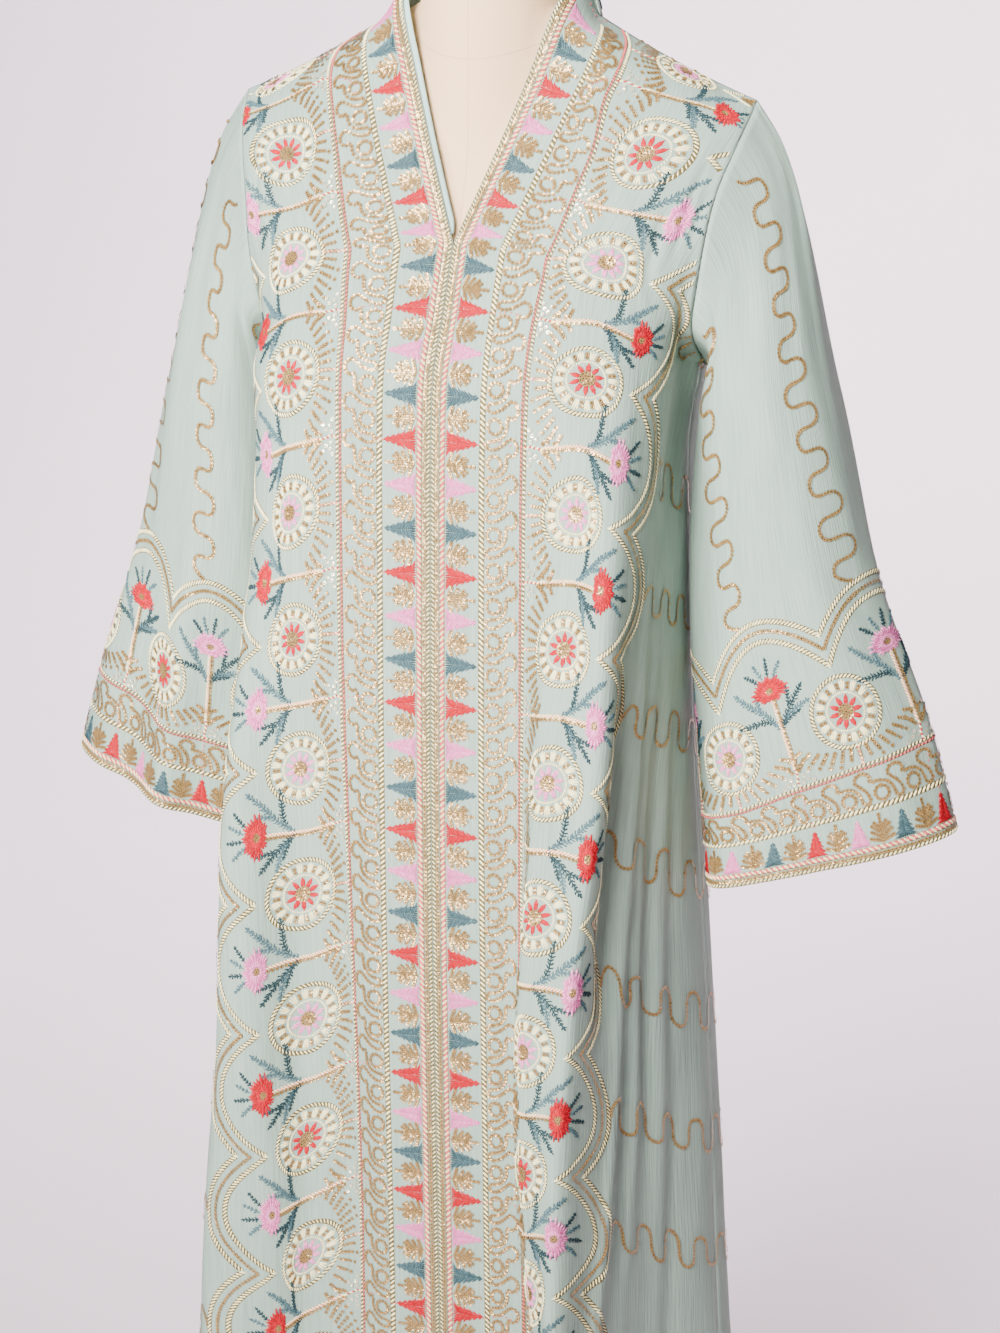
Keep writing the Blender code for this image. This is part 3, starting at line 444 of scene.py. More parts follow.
class HalfSurface:
    """A smooth surface through rows of control points on one side of the garment."""

    def __init__(self, side: Side, first: int, last: int) -> None:
        """Take some control columns, and those next to them for the slopes at the ends.

        Args:
            side: the wearer's side.
            first: the first control column.
            last: the last one.
        """
        self.first = first
        self.count = last - first + 1
        skirt = [self.skirt_row(row) for row in SKIRT_ROWS[side.key]]
        yoke = [self.yoke_row(row) for row in (YOKE_ROWS if first == 0 else BACK_YOKE_ROWS)]
        before, after = [], []
        for row in skirt:
            before.append(row[1] * (-1, 1, 1) if first == 0 else row[first - 1])
            after.append(row[last + 1] if first == 0 else row[last - 1] * (-1, 1, 1))
        for row in yoke:
            closed = abs(row[0][0]) < 1e-9
            before.append(row[1] * (-1, 1, 1) if closed else 2 * row[0] - row[1])
            after.append(2 * row[-1] - row[-2] if first == 0 else row[-2] * (-1, 1, 1))
        rows = [row[first:last + 1] for row in skirt] + yoke
        self.controls = np.array([np.vstack([b, r, a]) for b, r, a in zip(before, rows, after)])
        levels = [BUST_LEVEL + row[0] / 1000.0 - BUST_HEIGHT for row in SKIRT_ROWS[side.key]]
        self.levels = np.array(levels + list(YOKE_LEVELS if first == 0 else BACK_YOKE_LEVELS))
        self.bust = len(skirt) - 1
        self.vee = self.bust + 2

    @staticmethod
    def skirt_row(row: tuple) -> Array:
        """Ten points of a skirt row, from the front edge to the centre back.

        Args:
            row: a row of the table.

        Returns:
            The points.
        """
        row = [value / 1000.0 for value in row]
        height, front = row[:2]
        pairs = [(row[k], row[k + 1]) for k in range(2, 16, 2)]
        collar = (0.04, front + 0.4 * (pairs[0][1] - front))
        plan = [(0.0, front), collar] + pairs + [(0.0, row[16])]
        return np.array([(x, y, height) for x, y in plan])

    @staticmethod
    def yoke_row(row: tuple) -> Array:
        """Points of a row above the bust, those on the shoulder line given their height."""
        return np.array([(x / 1000.0, y / 1000.0, shoulder_height(x / 1000.0) if z is None else z / 1000.0)
                         for x, y, z in row])

    def corner(self, column: int) -> int | None:
        """The row where a control column turns sharply, or None.

        Args:
            column: the control column.

        Returns:
            The row's number, or None.
        """
        if self.first == 0 and column <= 1:
            return self.vee
        near_armhole = column >= self.count if self.first == 0 else column <= 1
        return self.bust if near_armhole else None

    def top_row(self, dense: Array, columns: Array) -> Array:
        """The exact top row: along the shoulder line, and for the back round the neck.

        Args:
            dense: the row as the curves give it.
            columns: the control column number of each of its places.

        Returns:
            The exact row.
        """
        top = dense.copy()
        if self.first == 0:
            outside = top[:, 0] > NECK_POINT_X
            top[outside, 2] = shoulder_height(top[outside, 0])
            return top
        tip, _, neck, centre = self.controls[-1][1:5]
        for k, column in enumerate(columns):
            if column <= 2.0:
                x = tip[0] + (neck[0] - tip[0]) * column / 2.0
                top[k] = (x, 0.0, shoulder_height(x))
            else:
                top[k] = back_neck_point((column - 2.0) * 0.5 * np.pi, neck, centre)
        return top

    def grid(self, levels: Array) -> tuple[Array, Array]:
        """Finely spaced rows.

        Args:
            levels: the level of each row.

        Returns:
            Points, rows by places along them, and the control column number of each place.
        """
        lines = np.stack([curve(self.levels, self.controls[:, c], levels, self.corner(c))
                          for c in range(self.count + 2)], axis=1)
        columns = np.linspace(0.0, self.count - 1.0, DENSE)
        out = []
        for line in lines:
            places = chord_places(line)
            query = np.interp(columns + 1.0, np.arange(len(places)), places)
            out.append(curve(places, line, query))
        points = np.array(out)
        change = self.top_row(points[-1], columns) - points[-1]
        reach = TOP_REACH if self.first == 0 else BACK_TOP_REACH
        share = np.clip((levels - levels[-1] + reach) / reach, 0.0, 1.0)
        return points + share[:, None, None] * change, self.first + columns


def crease_relief(side: Side, across: Array, levels: Array) -> Array:
    """Height of the listed creases of a side at each place of a grid.

    Args:
        side: the wearer's side.
        across: distance of each place from the front edge.
        levels: the level of each row.

    Returns:
        How far each place moves outwards.
    """
    total = np.zeros_like(across)
    place = pattern_places(across, levels)
    for depth, width, line in CREASES[side.key]:
        nodes = np.array(line) / 1000.0
        lengths = np.concatenate([[0.0], np.cumsum(np.linalg.norm(np.diff(nodes, axis=0), axis=1))])
        nearest = np.full(across.shape, np.inf)
        along = np.zeros(across.shape)
        for k, (a, b) in enumerate(zip(nodes, nodes[1:])):
            t = np.clip(((place - a) @ (b - a)) / ((b - a) @ (b - a)), 0.0, 1.0)
            away = np.linalg.norm(place - a - t[..., None] * (b - a), axis=-1)
            closer = away < nearest
            nearest = np.where(closer, away, nearest)
            along = np.where(closer, (lengths[k] + t * (lengths[k + 1] - lengths[k])), along)
        fade = np.sin(np.pi * np.clip(along / lengths[-1], 0.03, 0.97)) ** 0.7
        total += depth / 1000.0 * fade * np.exp(-(nearest / (width / 1000.0)) ** 2)
    return total


def body_relief(side: Side, columns: Array, across: Array, levels: Array) -> Array:
    """Height of every fold, crease and ripple of a side of the body.

    Args:
        side: the wearer's side.
        columns: the control column of each place along a row.
        across: distance of each place of the grid from the front edge.
        levels: the level of each row.

    Returns:
        How far each place moves outwards.
    """
    heights = BUST_HEIGHT + levels - BUST_LEVEL
    total = np.zeros_like(across)
    for column, width, depth, start in SKIRT_FOLDS[side.key]:
        down = smooth_step((start - heights) / (start - HEM_HEIGHT))
        total += depth * np.outer(down, np.exp(-((columns - column) / width) ** 2))
    total += crease_relief(side, across, levels)
    seed = 11 if side is Side.LEFT else 23
    loose = smooth_step((across - 0.05) / 0.12) * smooth_step((SHOULDER_LEVEL - levels) / 0.1)[:, None]
    lower = smooth_step((0.9 - heights) / 0.8)[:, None]
    total += ripple(across, levels[:, None], seed, 0.055, 0.45) * 0.0011 * loose * (0.35 + lower)
    total += ripple(across, levels[:, None], seed + 1, 0.018, 0.16) * 0.00022 * loose
    return total


@dataclass
class SurfaceMap:
    """A cloth surface read by pattern places: u away from the edge, v along the edge."""

    points: Array
    normals: Array

    def read(self, row: Array, column: Array, wrap: bool = False) -> tuple[Array, Array]:
        """Points and normals between the grid's places.

        Args:
            row: fractional row numbers.
            column: fractional column numbers.
            wrap: whether the columns run round a loop.

        Returns:
            Points and unit normals.
        """
        rows, columns = self.points.shape[:2]
        row = np.clip(row, 0.0, rows - 1.001)
        column = np.mod(column, columns) if wrap else np.clip(column, 0.0, columns - 1.001)
        r, c = row.astype(int), column.astype(int)
        fr, fc = (row - r)[:, None], (column - c)[:, None]
        c2 = (c + 1) % columns
        found = []
        for grid in (self.points, self.normals):
            low = grid[r, c] * (1 - fc) + grid[r, c2] * fc
            high = grid[r + 1, c] * (1 - fc) + grid[r + 1, c2] * fc
            found.append(low * (1 - fr) + high * fr)
        return found[0], unit(found[1])

    def place(self, u: Array, v: Array) -> tuple[Array, Array, Array]:
        """Points, normals and which places lie on the cloth, for pattern places."""
        raise NotImplementedError

    def upright(self, line: Array) -> Array:
        """A line of pattern places moved so that the cloth does not slant it."""
        return line


@dataclass
class BodyMap(SurfaceMap):
    """Pattern places on one side of the body: v is the level, zero at the bottom of the V."""

    levels: Array
    lengths: Array
    step: float
    side: Side

    def pull(self, v: Array) -> Array:
        """How far the edge of the neckline draws the pattern down at some levels."""
        return np.interp(v * 1000.0, (0, 11, 45, 80, 110, 145), (0, -4, -11, -15, -17, -22)) / 1000.0

    def upright(self, line: Array) -> Array:
        """A line of pattern places moved so that it stands square to the neckline's edge.

        Args:
            line: pattern places.

        Returns:
            The moved places.
        """
        u, v = line.T
        goal = self.pull(v) - 0.14 * (u - 0.018) * smooth_step(v / 0.04)
        moved = v
        for _ in range(3):
            moved = v + goal - (self.shift(u, moved)[1] - moved)
        return np.stack([u, moved], axis=1)

    def shift(self, u: Array, v: Array) -> tuple[Array, Array]:
        """Add the pull of the hang to pattern places.

        Args:
            u: distances from the edge.
            v: levels.

        Returns:
            The same two on the cloth as it hangs.
        """
        pull = self.pull(v)
        near = np.clip(u, 0.0, 0.0725)
        fan = near * 0.1 * np.exp(-(v / 0.06) ** 2) * smooth_step((u - 0.02) / 0.03)
        zero = np.zeros_like(u)
        draw_in = -0.01 * smooth_step((v - 0.08) / 0.06) * (self.side is Side.LEFT)
        lean = smooth_step(v / 0.04) * 0.5
        across = [zero, fan * 0.55, fan + draw_in]
        along = [pull + 0.0036 * lean, pull - 0.0044 * lean, zero]
        for _, rows in WARPS[self.side.key]:
            table = np.array(rows, float)[::-1] / 1000.0
            read = curve(table[:, 0], table[:, 1:], np.clip(v, table[0, 0], table[-1, 0]))
            across.append(read[:, 0])
            along.append(read[:, 1])
        stops = np.array([0.0, 0.04, 0.0725] + [stop / 1000.0 for stop, _ in WARPS[self.side.key]])
        return u + blend(stops, across, u), v + blend(stops, along, u)

    def place(self, u: Array, v: Array) -> tuple[Array, Array, Array]:
        """Find pattern places on the cloth.

        Args:
            u: distances from the edge.
            v: levels.

        Returns:
            Points, unit normals, and whether each place is on the cloth.
        """
        u, v = self.shift(*np.broadcast_arrays(np.asarray(u, float), np.asarray(v, float)))
        row = np.interp(v, self.levels, np.arange(len(self.levels)))
        length = np.interp(v, self.levels, self.lengths)
        reach = np.minimum(length - 0.0015, self.step * (self.points.shape[1] - 2))
        inside = (u <= reach) & (u >= 0.0) & (v > self.levels[0] + 0.003)
        inside &= v < self.levels[-1] - 0.002
        points, normals = self.read(row, u / self.step)
        return points, normals, inside


@dataclass
class TubeMap(SurfaceMap):
    """Pattern places on a sleeve: u is the distance up from the cuff and v runs round it."""

    lengths: Array
    around: Array
    start: float
    way: float
    low: float
    side: Side

    def place(self, u: Array, v: Array) -> tuple[Array, Array, Array]:
        """Find pattern places on the cloth.

        Args:
            u: distances up from the cuff.
            v: distances round the cuff.

        Returns:
            Points, unit normals, and whether each place is on the cloth.
        """
        u, v = np.broadcast_arrays(np.asarray(u, float), np.asarray(v, float))
        rows, columns = self.points.shape[:2]
        inside = (v >= self.low) & (v <= self.low + self.around[-1])
        table = np.array(TURNS[self.side.key])
        tilt, lean = (np.interp(v * 1000.0, table[:, 0], table[:, k]) for k in (1, 2))
        share = smooth_step(u / 0.1) * 1.1
        turned = self.start + self.way * (v + lean * (u - 0.06) * smooth_step(u / 0.06))
        u = u + tilt / 1000.0 * share
        column = np.interp(np.mod(turned, self.around[-1]), self.around, np.arange(columns + 1.0))
        length = np.interp(column, np.arange(columns + 1), np.append(self.lengths, self.lengths[0]))
        row = (1.0 - u / length) * (rows - 1)
        points, normals = self.read(row, column, wrap=True)
        return points, normals, inside & (u < length - 0.012) & (u >= 0.0)


@dataclass
class BandMap(SurfaceMap):
    """Pattern places on the back neck band: u is the distance down from its top edge."""

    length: float
    height: float

    def place(self, u: Array, v: Array) -> tuple[Array, Array, Array]:
        """Find pattern places on the cloth.

        Args:
            u: distances down from the top edge.
            v: distances along it.

        Returns:
            Points, unit normals, and whether each place is on the cloth.
        """
        u, v = np.asarray(u, float), np.asarray(v, float)
        rows, columns = self.points.shape[:2]
        row = (1.0 - u / self.height) * (rows - 1)
        points, normals = self.read(row, v / self.length * (columns - 1))
        inside = (u >= 0) & (u < self.height - 0.001) & (v > 0.001) & (v < self.length - 0.001)
        return points, normals, inside


@dataclass
class Mesh:
    """Points, faces and materials gathered into one object."""

    name: str
    points: list[Array] = field(default_factory=list)
    faces: list[Array] = field(default_factory=list)
    slots: list[Array] = field(default_factory=list)
    total: int = 0

    def add(self, points: Array, faces: Array, slots: Array | int = 0) -> None:
        """Add points and the faces between them.

        Args:
            points: the points.
            faces: the numbers of each face's points.
            slots: the material slot of each face, or of all.
        """
        self.points.append(points.reshape(-1, 3))
        self.faces.append(faces + self.total)
        self.slots.append(np.broadcast_to(np.asarray(slots), (len(faces),)))
        self.total += len(self.points[-1])

    def build(self, materials: list[Material], uv: list[Array] | None = None,
              smooth: bool = True) -> Piece:
        """Make the object.

        Args:
            materials: one for each slot.
            uv: pattern places of the points, in the order they were added.
            smooth: whether the faces are shaded smooth.

        Returns:
            The new object, linked to the scene.
        """
        points = np.concatenate(self.points)
        sizes = np.concatenate([np.full(len(f), f.shape[1]) for f in self.faces])
        corners = np.concatenate([f.reshape(-1) for f in self.faces])
        mesh = bpy.data.meshes.new(self.name)
        mesh.vertices.add(len(points))
        mesh.vertices.foreach_set("co", points.astype(np.float32).reshape(-1))
        mesh.loops.add(len(corners))
        mesh.loops.foreach_set("vertex_index", corners.astype(np.int32))
        mesh.polygons.add(len(sizes))
        starts = np.concatenate([[0], np.cumsum(sizes)[:-1]])
        mesh.polygons.foreach_set("loop_start", starts.astype(np.int32))
        mesh.polygons.foreach_set("material_index", np.concatenate(self.slots).astype(np.int32))
        mesh.polygons.foreach_set("use_smooth", np.full(len(sizes), smooth))
        if uv is not None:
            layer = mesh.uv_layers.new(name="pattern")
            layer.data.foreach_set("uv", np.concatenate(uv)[corners].astype(np.float32).reshape(-1))
        mesh.update(calc_edges=True)
        for material in materials:
            mesh.materials.append(material)
        made = bpy.data.objects.new(self.name, mesh)
        bpy.context.scene.collection.objects.link(made)
        return made


def grid_faces(rows: int, columns: int, loop: bool = False) -> Array:
    """Quads of a grid of points, row by row.

    Args:
        rows: how many rows of points.
        columns: how many points a row has.
        loop: whether the rows close round.

    Returns:
        Four point numbers for each quad.
    """
    r, c = np.meshgrid(np.arange(rows - 1), np.arange(columns if loop else columns - 1), indexing="ij")
    a = (r * columns + c).reshape(-1)
    b = (r * columns + (c + 1) % columns).reshape(-1)
    return np.stack([a, b, b + columns, a + columns], axis=1)


def cloth_wall(name: str, outer: Array, normals: Array, uv: Array, material: Material,
               loop: bool = False, wall: float = CLOTH_WALL) -> Piece:
    """Make a closed wall of cloth from its outer grid.

    Args:
        name: the object's name.
        outer: the outer points, rows by columns.
        normals: the outward normals there.
        uv: pattern places there.
        material: the cloth.
        loop: whether the columns run round a loop.
        wall: the cloth's thickness.

    Returns:
        The object.
    """
    rows, columns = outer.shape[:2]
    count = rows * columns
    mesh = Mesh(name)
    inner = outer - normals * wall
    quads = grid_faces(rows, columns, loop)
    flip = ((np.cross(outer[1:, :-1] - outer[:-1, :-1], outer[:-1, 1:] - outer[:-1, :-1])
             * normals[:-1, :-1]).sum() > 0)
    front = quads[:, ::-1] if flip else quads
    parts = [front, quads if flip else quads[:, ::-1]]
    parts[1] = parts[1] + count
    if loop:
        ring = np.arange(columns)
        turn = (ring + 1) % columns
        rims = [(ring, turn), ((rows - 1) * columns + turn, (rows - 1) * columns + ring)]
    else:
        edge = np.concatenate([np.arange(columns), np.arange(1, rows) * columns + columns - 1,
                               (rows - 1) * columns + np.arange(columns - 2, -1, -1),
                               np.arange(rows - 2, 0, -1) * columns])
        rims = [(edge, np.roll(edge, -1))]
    for a, b in rims:
        rim = np.stack([a, a + count, b + count, b], axis=1)
        parts.append(rim[:, ::-1] if flip else rim)
    mesh.add(np.concatenate([outer.reshape(-1, 3), inner.reshape(-1, 3)]), np.concatenate(parts))
    flat = uv.reshape(-1, 2)
    return mesh.build([material], [flat, flat])


@dataclass
class Needlework:
    """Stitches and sequins drawn in pattern places and laid on a cloth surface.

    A stitch is a ridge: its height is a share of its width, and half its level top of its length.
    """

    surface: SurfaceMap
    seed: int
    lift: float = 0.0003
    shade_band_lift: float = 0.00025
    ridge: float = 0.42
    flat: float = 0.24
    radius: float = 0.00166
    sides: int = 8
    stitches: list[Array] = field(default_factory=list)
    spots: list[Array] = field(default_factory=list)
    shade_bands: list[Array] = field(default_factory=list)

    def stitch(self, start: Array, end: Array, width: float, thread: Thread) -> None:
        """Add straight stitches.

        Args:
            start: pattern places where they start, one row each.
            end: where they end.
            width: how wide the thread lies.
            thread: its material.
        """
        start, end = np.atleast_2d(start), np.atleast_2d(end)
        extra = np.broadcast_to([width, float(thread.value)], (len(start), 2))
        self.stitches.append(np.hstack([start, end, extra]))

    def chain(self, line: Array, width: float, thread: Thread, pitch: float, slant: float, thick: float,
              shade_band: bool = False) -> None:
        """Add a band of slanted stitches along a line of pattern places.

        Args:
            line: the line's points.
            width: how wide the band is.
            thread: its material.
            pitch: the distance between stitches.
            slant: their angle to the line, in degrees.
            thick: how wide the thread lies.
            shade_band: whether a band of painted shade lies under them and shows dark between them.
        """
        places, heading = walk(line, pitch)
        turned = heading + math.radians(slant)
        reach = width / 2.0 / math.sin(math.radians(abs(slant)))
        way = np.stack([np.cos(turned), np.sin(turned)], axis=1) * reach
        self.stitch(places - way, places + way, thick, thread)
        if shade_band:
            out = np.stack([-np.sin(heading), np.cos(heading)], axis=1) * width * 0.5
            first = np.zeros((len(places), 1))
            first[0] = 1.0
            self.shade_bands.append(np.hstack([places - out, places + out, first]))

    def sequins(self, places: Array, heading: Array | float = 0.0,
                thread: Thread = Thread.SEQUIN) -> None:
        """Add sequins that overlap along a heading.

        Args:
            places: their pattern places.
            heading: the way they overlap, in radians.
            thread: their material.
        """
        places = np.atleast_2d(places)
        heading = np.broadcast_to(heading, (len(places),))
        slot = np.full(len(places), float(thread.value))
        self.spots.append(np.column_stack([places, heading, slot]))

    def sequin_line(self, line: Array, pitch: float = 0.003) -> None:
        """Add a row of sequins along a line of pattern places."""
        places, heading = walk(line, pitch)
        self.sequins(places, heading)

    def lay_shade_bands(self, mesh: Mesh) -> None:
        """Lay the bands of painted shade under the ropes, flat on the cloth, so the gaps between stitches
        look shadowed.

        Args:
            mesh: what they are added to.
        """
        if not self.shade_bands:
            return
        rows = np.concatenate(self.shade_bands)
        left, normal_a, ok_a = self.surface.place(rows[:, 0], rows[:, 1])
        right, normal_b, ok_b = self.surface.place(rows[:, 2], rows[:, 3])
        points = np.stack([left + normal_a * self.shade_band_lift, right + normal_b * self.shade_band_lift], axis=1)
        ok = ok_a & ok_b
        k = np.nonzero(ok[:-1] & ok[1:] & (rows[1:, 4] < 0.5))[0]
        faces = np.stack([2 * k, 2 * k + 2, 2 * k + 3, 2 * k + 1], axis=1)
        mesh.add(points, faces, Thread.SHADE.value)

    def lay_stitches(self, mesh: Mesh) -> None:
        """Lay every stitch on the cloth as a low ridge with pointed ends.

        Args:
            mesh: what they are added to.
        """
        if not self.stitches:
            return
        rows = np.concatenate(self.stitches)
        start, normal_a, ok_a = self.surface.place(rows[:, 0], rows[:, 1])
        end, normal_b, ok_b = self.surface.place(rows[:, 2], rows[:, 3])
        keep = ok_a & ok_b & (np.linalg.norm(end - start, axis=1) > 1e-5)
        start, end, rows = start[keep], end[keep], rows[keep]
        normal = unit(normal_a[keep] + normal_b[keep])
        middle, _, _ = self.surface.place((rows[:, 0] + rows[:, 2]) / 2, (rows[:, 1] + rows[:, 3]) / 2)
        draw = np.random.default_rng(self.seed)
        width = rows[:, 4:5] * draw.uniform(0.85, 1.15, (len(rows), 1))
        side = unit(np.cross(end - start, normal)) * width / 2
        low = self.lift * draw.uniform(0.5, 1.0, (len(rows), 1))
        top = normal * (self.lift + width * self.ridge)
        along = (end - start) * self.flat
        base = middle + normal * low
        parts = [start + normal * low * 0.6, base - along - side, base - along + side, base - along + top,
                 base + along - side, base + along + side, base + along + top, end + normal * low * 0.6]
        points = np.stack(parts, axis=1)
        plan = np.array([(0, 3, 1), (0, 2, 3), (7, 4, 6), (7, 6, 5),
                         (1, 3, 6), (1, 6, 4), (2, 6, 3), (2, 5, 6)])
        faces = (np.arange(len(rows))[:, None, None] * 8 + plan).reshape(-1, 3)
        mesh.add(points, faces, np.repeat(rows[:, 5].astype(int), len(plan)))

    def lay_sequins(self, mesh: Mesh) -> None:
        """Lay every sequin on the cloth as a small cup, each tilted a little.

        Args:
            mesh: what they are added to.
        """
        if not self.spots:
            return
        rows = np.concatenate(self.spots)
        middle, normal, keep = self.surface.place(rows[:, 0], rows[:, 1])
        ahead, _, _ = self.surface.place(rows[:, 0] + 0.001 * np.cos(rows[:, 2]),
                                         rows[:, 1] + 0.001 * np.sin(rows[:, 2]))
        middle, normal, ahead, rows = middle[keep], normal[keep], ahead[keep], rows[keep]
        draw = np.random.default_rng(self.seed + 50)
        along = unit(ahead - middle)
        across = unit(np.cross(normal, along))
        tip = np.radians(draw.normal(5.0, 4.5, (len(rows), 1)))
        lean = np.radians(draw.normal(0.0, 5.0, (len(rows), 1)))
        face = unit(normal - along * np.tan(tip) + across * np.tan(lean))
        first = unit(along - face * (along * face).sum(1, keepdims=True))
        second = np.cross(face, first)
        size = self.radius * draw.uniform(0.93, 1.07, (len(rows), 1))
        angle = np.arange(self.sides) * 2 * np.pi / self.sides
        ring = (first[:, None] * np.cos(angle)[:, None] + second[:, None] * np.sin(angle)[:, None])
        centre = middle + normal * (self.lift + 0.0005)
        outer = centre[:, None] + ring * size[:, None]
        cup = draw.uniform(0.00012, 0.00024, (len(rows), 1))
        points = np.concatenate([outer, (centre - face * cup)[:, None]], axis=1)
        k = np.arange(self.sides)
        plan = np.stack([k, (k + 1) % self.sides, np.full(self.sides, self.sides)], axis=1)
        faces = (np.arange(len(rows))[:, None, None] * (self.sides + 1) + plan).reshape(-1, 3)
        mesh.add(points, faces, np.repeat(rows[:, 3].astype(int), len(plan)))

    def radial(self, count: int) -> Array:
        """Pattern places of a number of sequins' points: one at the rim and zero in the middle."""
        return np.tile(np.array([(1.0, 0.0)] * self.sides + [(0.0, 0.0)]), (count // (self.sides + 1), 1))

    def build(self, name: str, threads: list[Material]) -> list[Piece]:
        """Make one object of the stitches and one of the sequins.

        Args:
            name: the end of their names.
            threads: the material of each slot.

        Returns:
            The stitches, then the sequins.
        """
        sewn, shiny = Mesh("stitches_" + name), Mesh("sequins_" + name)
        self.lay_shade_bands(sewn)
        self.lay_stitches(sewn)
        self.lay_sequins(shiny)
        return [sewn.build(threads), shiny.build(threads, [self.radial(shiny.total)], smooth=False)]

    def join(self, name: str, threads: list[Material]) -> Piece:
        """Make one object of the stitches and the sequins together.

        Args:
            name: its name.
            threads: the material of each slot.

        Returns:
            The object.
        """
        mesh = Mesh(name)
        self.lay_shade_bands(mesh)
        self.lay_stitches(mesh)
        sewn = mesh.total
        self.lay_sequins(mesh)
        return mesh.build(threads, [np.ones((sewn, 2)), self.radial(mesh.total - sewn)], smooth=False)


def flow(points: Array, steps: int = 8) -> Array:
    """A smooth line through points of the pattern."""
    places = np.arange(len(points), dtype=float)
    return curve(places, points, np.linspace(0.0, places[-1], (len(points) - 1) * steps + 1))


def walk(line: Array, pitch: float) -> tuple[Array, Array]:
    """Even steps along a line of pattern places.

    Args:
        line: the line's points.
        pitch: the distance between steps.

    Returns:
        The places of the steps and the line's heading at each.
    """
    arc = np.concatenate([[0.0], np.cumsum(np.linalg.norm(np.diff(line, axis=0), axis=1))])
    steps = max(2, int(round(arc[-1] / pitch)) + 1)
    query = np.linspace(0.0, arc[-1], steps)
    places = read_line(query, arc, line)
    way = np.gradient(places, axis=0)
    return places, np.arctan2(way[:, 1], way[:, 0])


def circle(u: float, v: float, radius: float, steps: int = 49) -> Array:
    """A closed circle of pattern places."""
    angle = np.linspace(0.0, 2 * np.pi, steps)
    return np.stack([u + radius * np.cos(angle), v + radius * np.sin(angle)], axis=1)


def straight(u0: float, v0: float, u1: float, v1: float) -> Array:
    """A straight line of pattern places in fine steps."""
    t = np.linspace(0.0, 1.0, max(2, int(math.hypot(u1 - u0, v1 - v0) / 0.004) + 1))[:, None]
    return np.array((u0, v0)) * (1 - t) + np.array((u1, v1)) * t


@dataclass(frozen=True)
class Rope:
    """A rope of slanted stitches that runs along a whole border."""

    away: float
    width: float
    thread: Thread
    pitch: float
    slant: float
    thick: float
    # Whether a band of painted shade lies under the rope
    shade_band: bool = True
    ahead: float = 0.0


EDGE_ROPE = Rope(0.0019, 0.003, Thread.CREAM, 0.0036, 42, 0.0014)
BRAID_ROPES = (Rope(0.0091, 0.0044, Thread.CREAM, 0.0046, -42, 0.0018),
               Rope(0.0093, 0.0042, Thread.ROSE, 0.0046, -42, 0.00165, shade_band=False, ahead=0.0023))
LINE_ROPES = (Rope(0.0405, 0.0046, Thread.CREAM, 0.0041, 45, 0.0016),
              Rope(0.0714, 0.0022, Thread.ROSE, 0.0034, 40, 0.0014),
              Rope(0.0741, 0.0024, Thread.CREAM, 0.0036, 45, 0.00145))


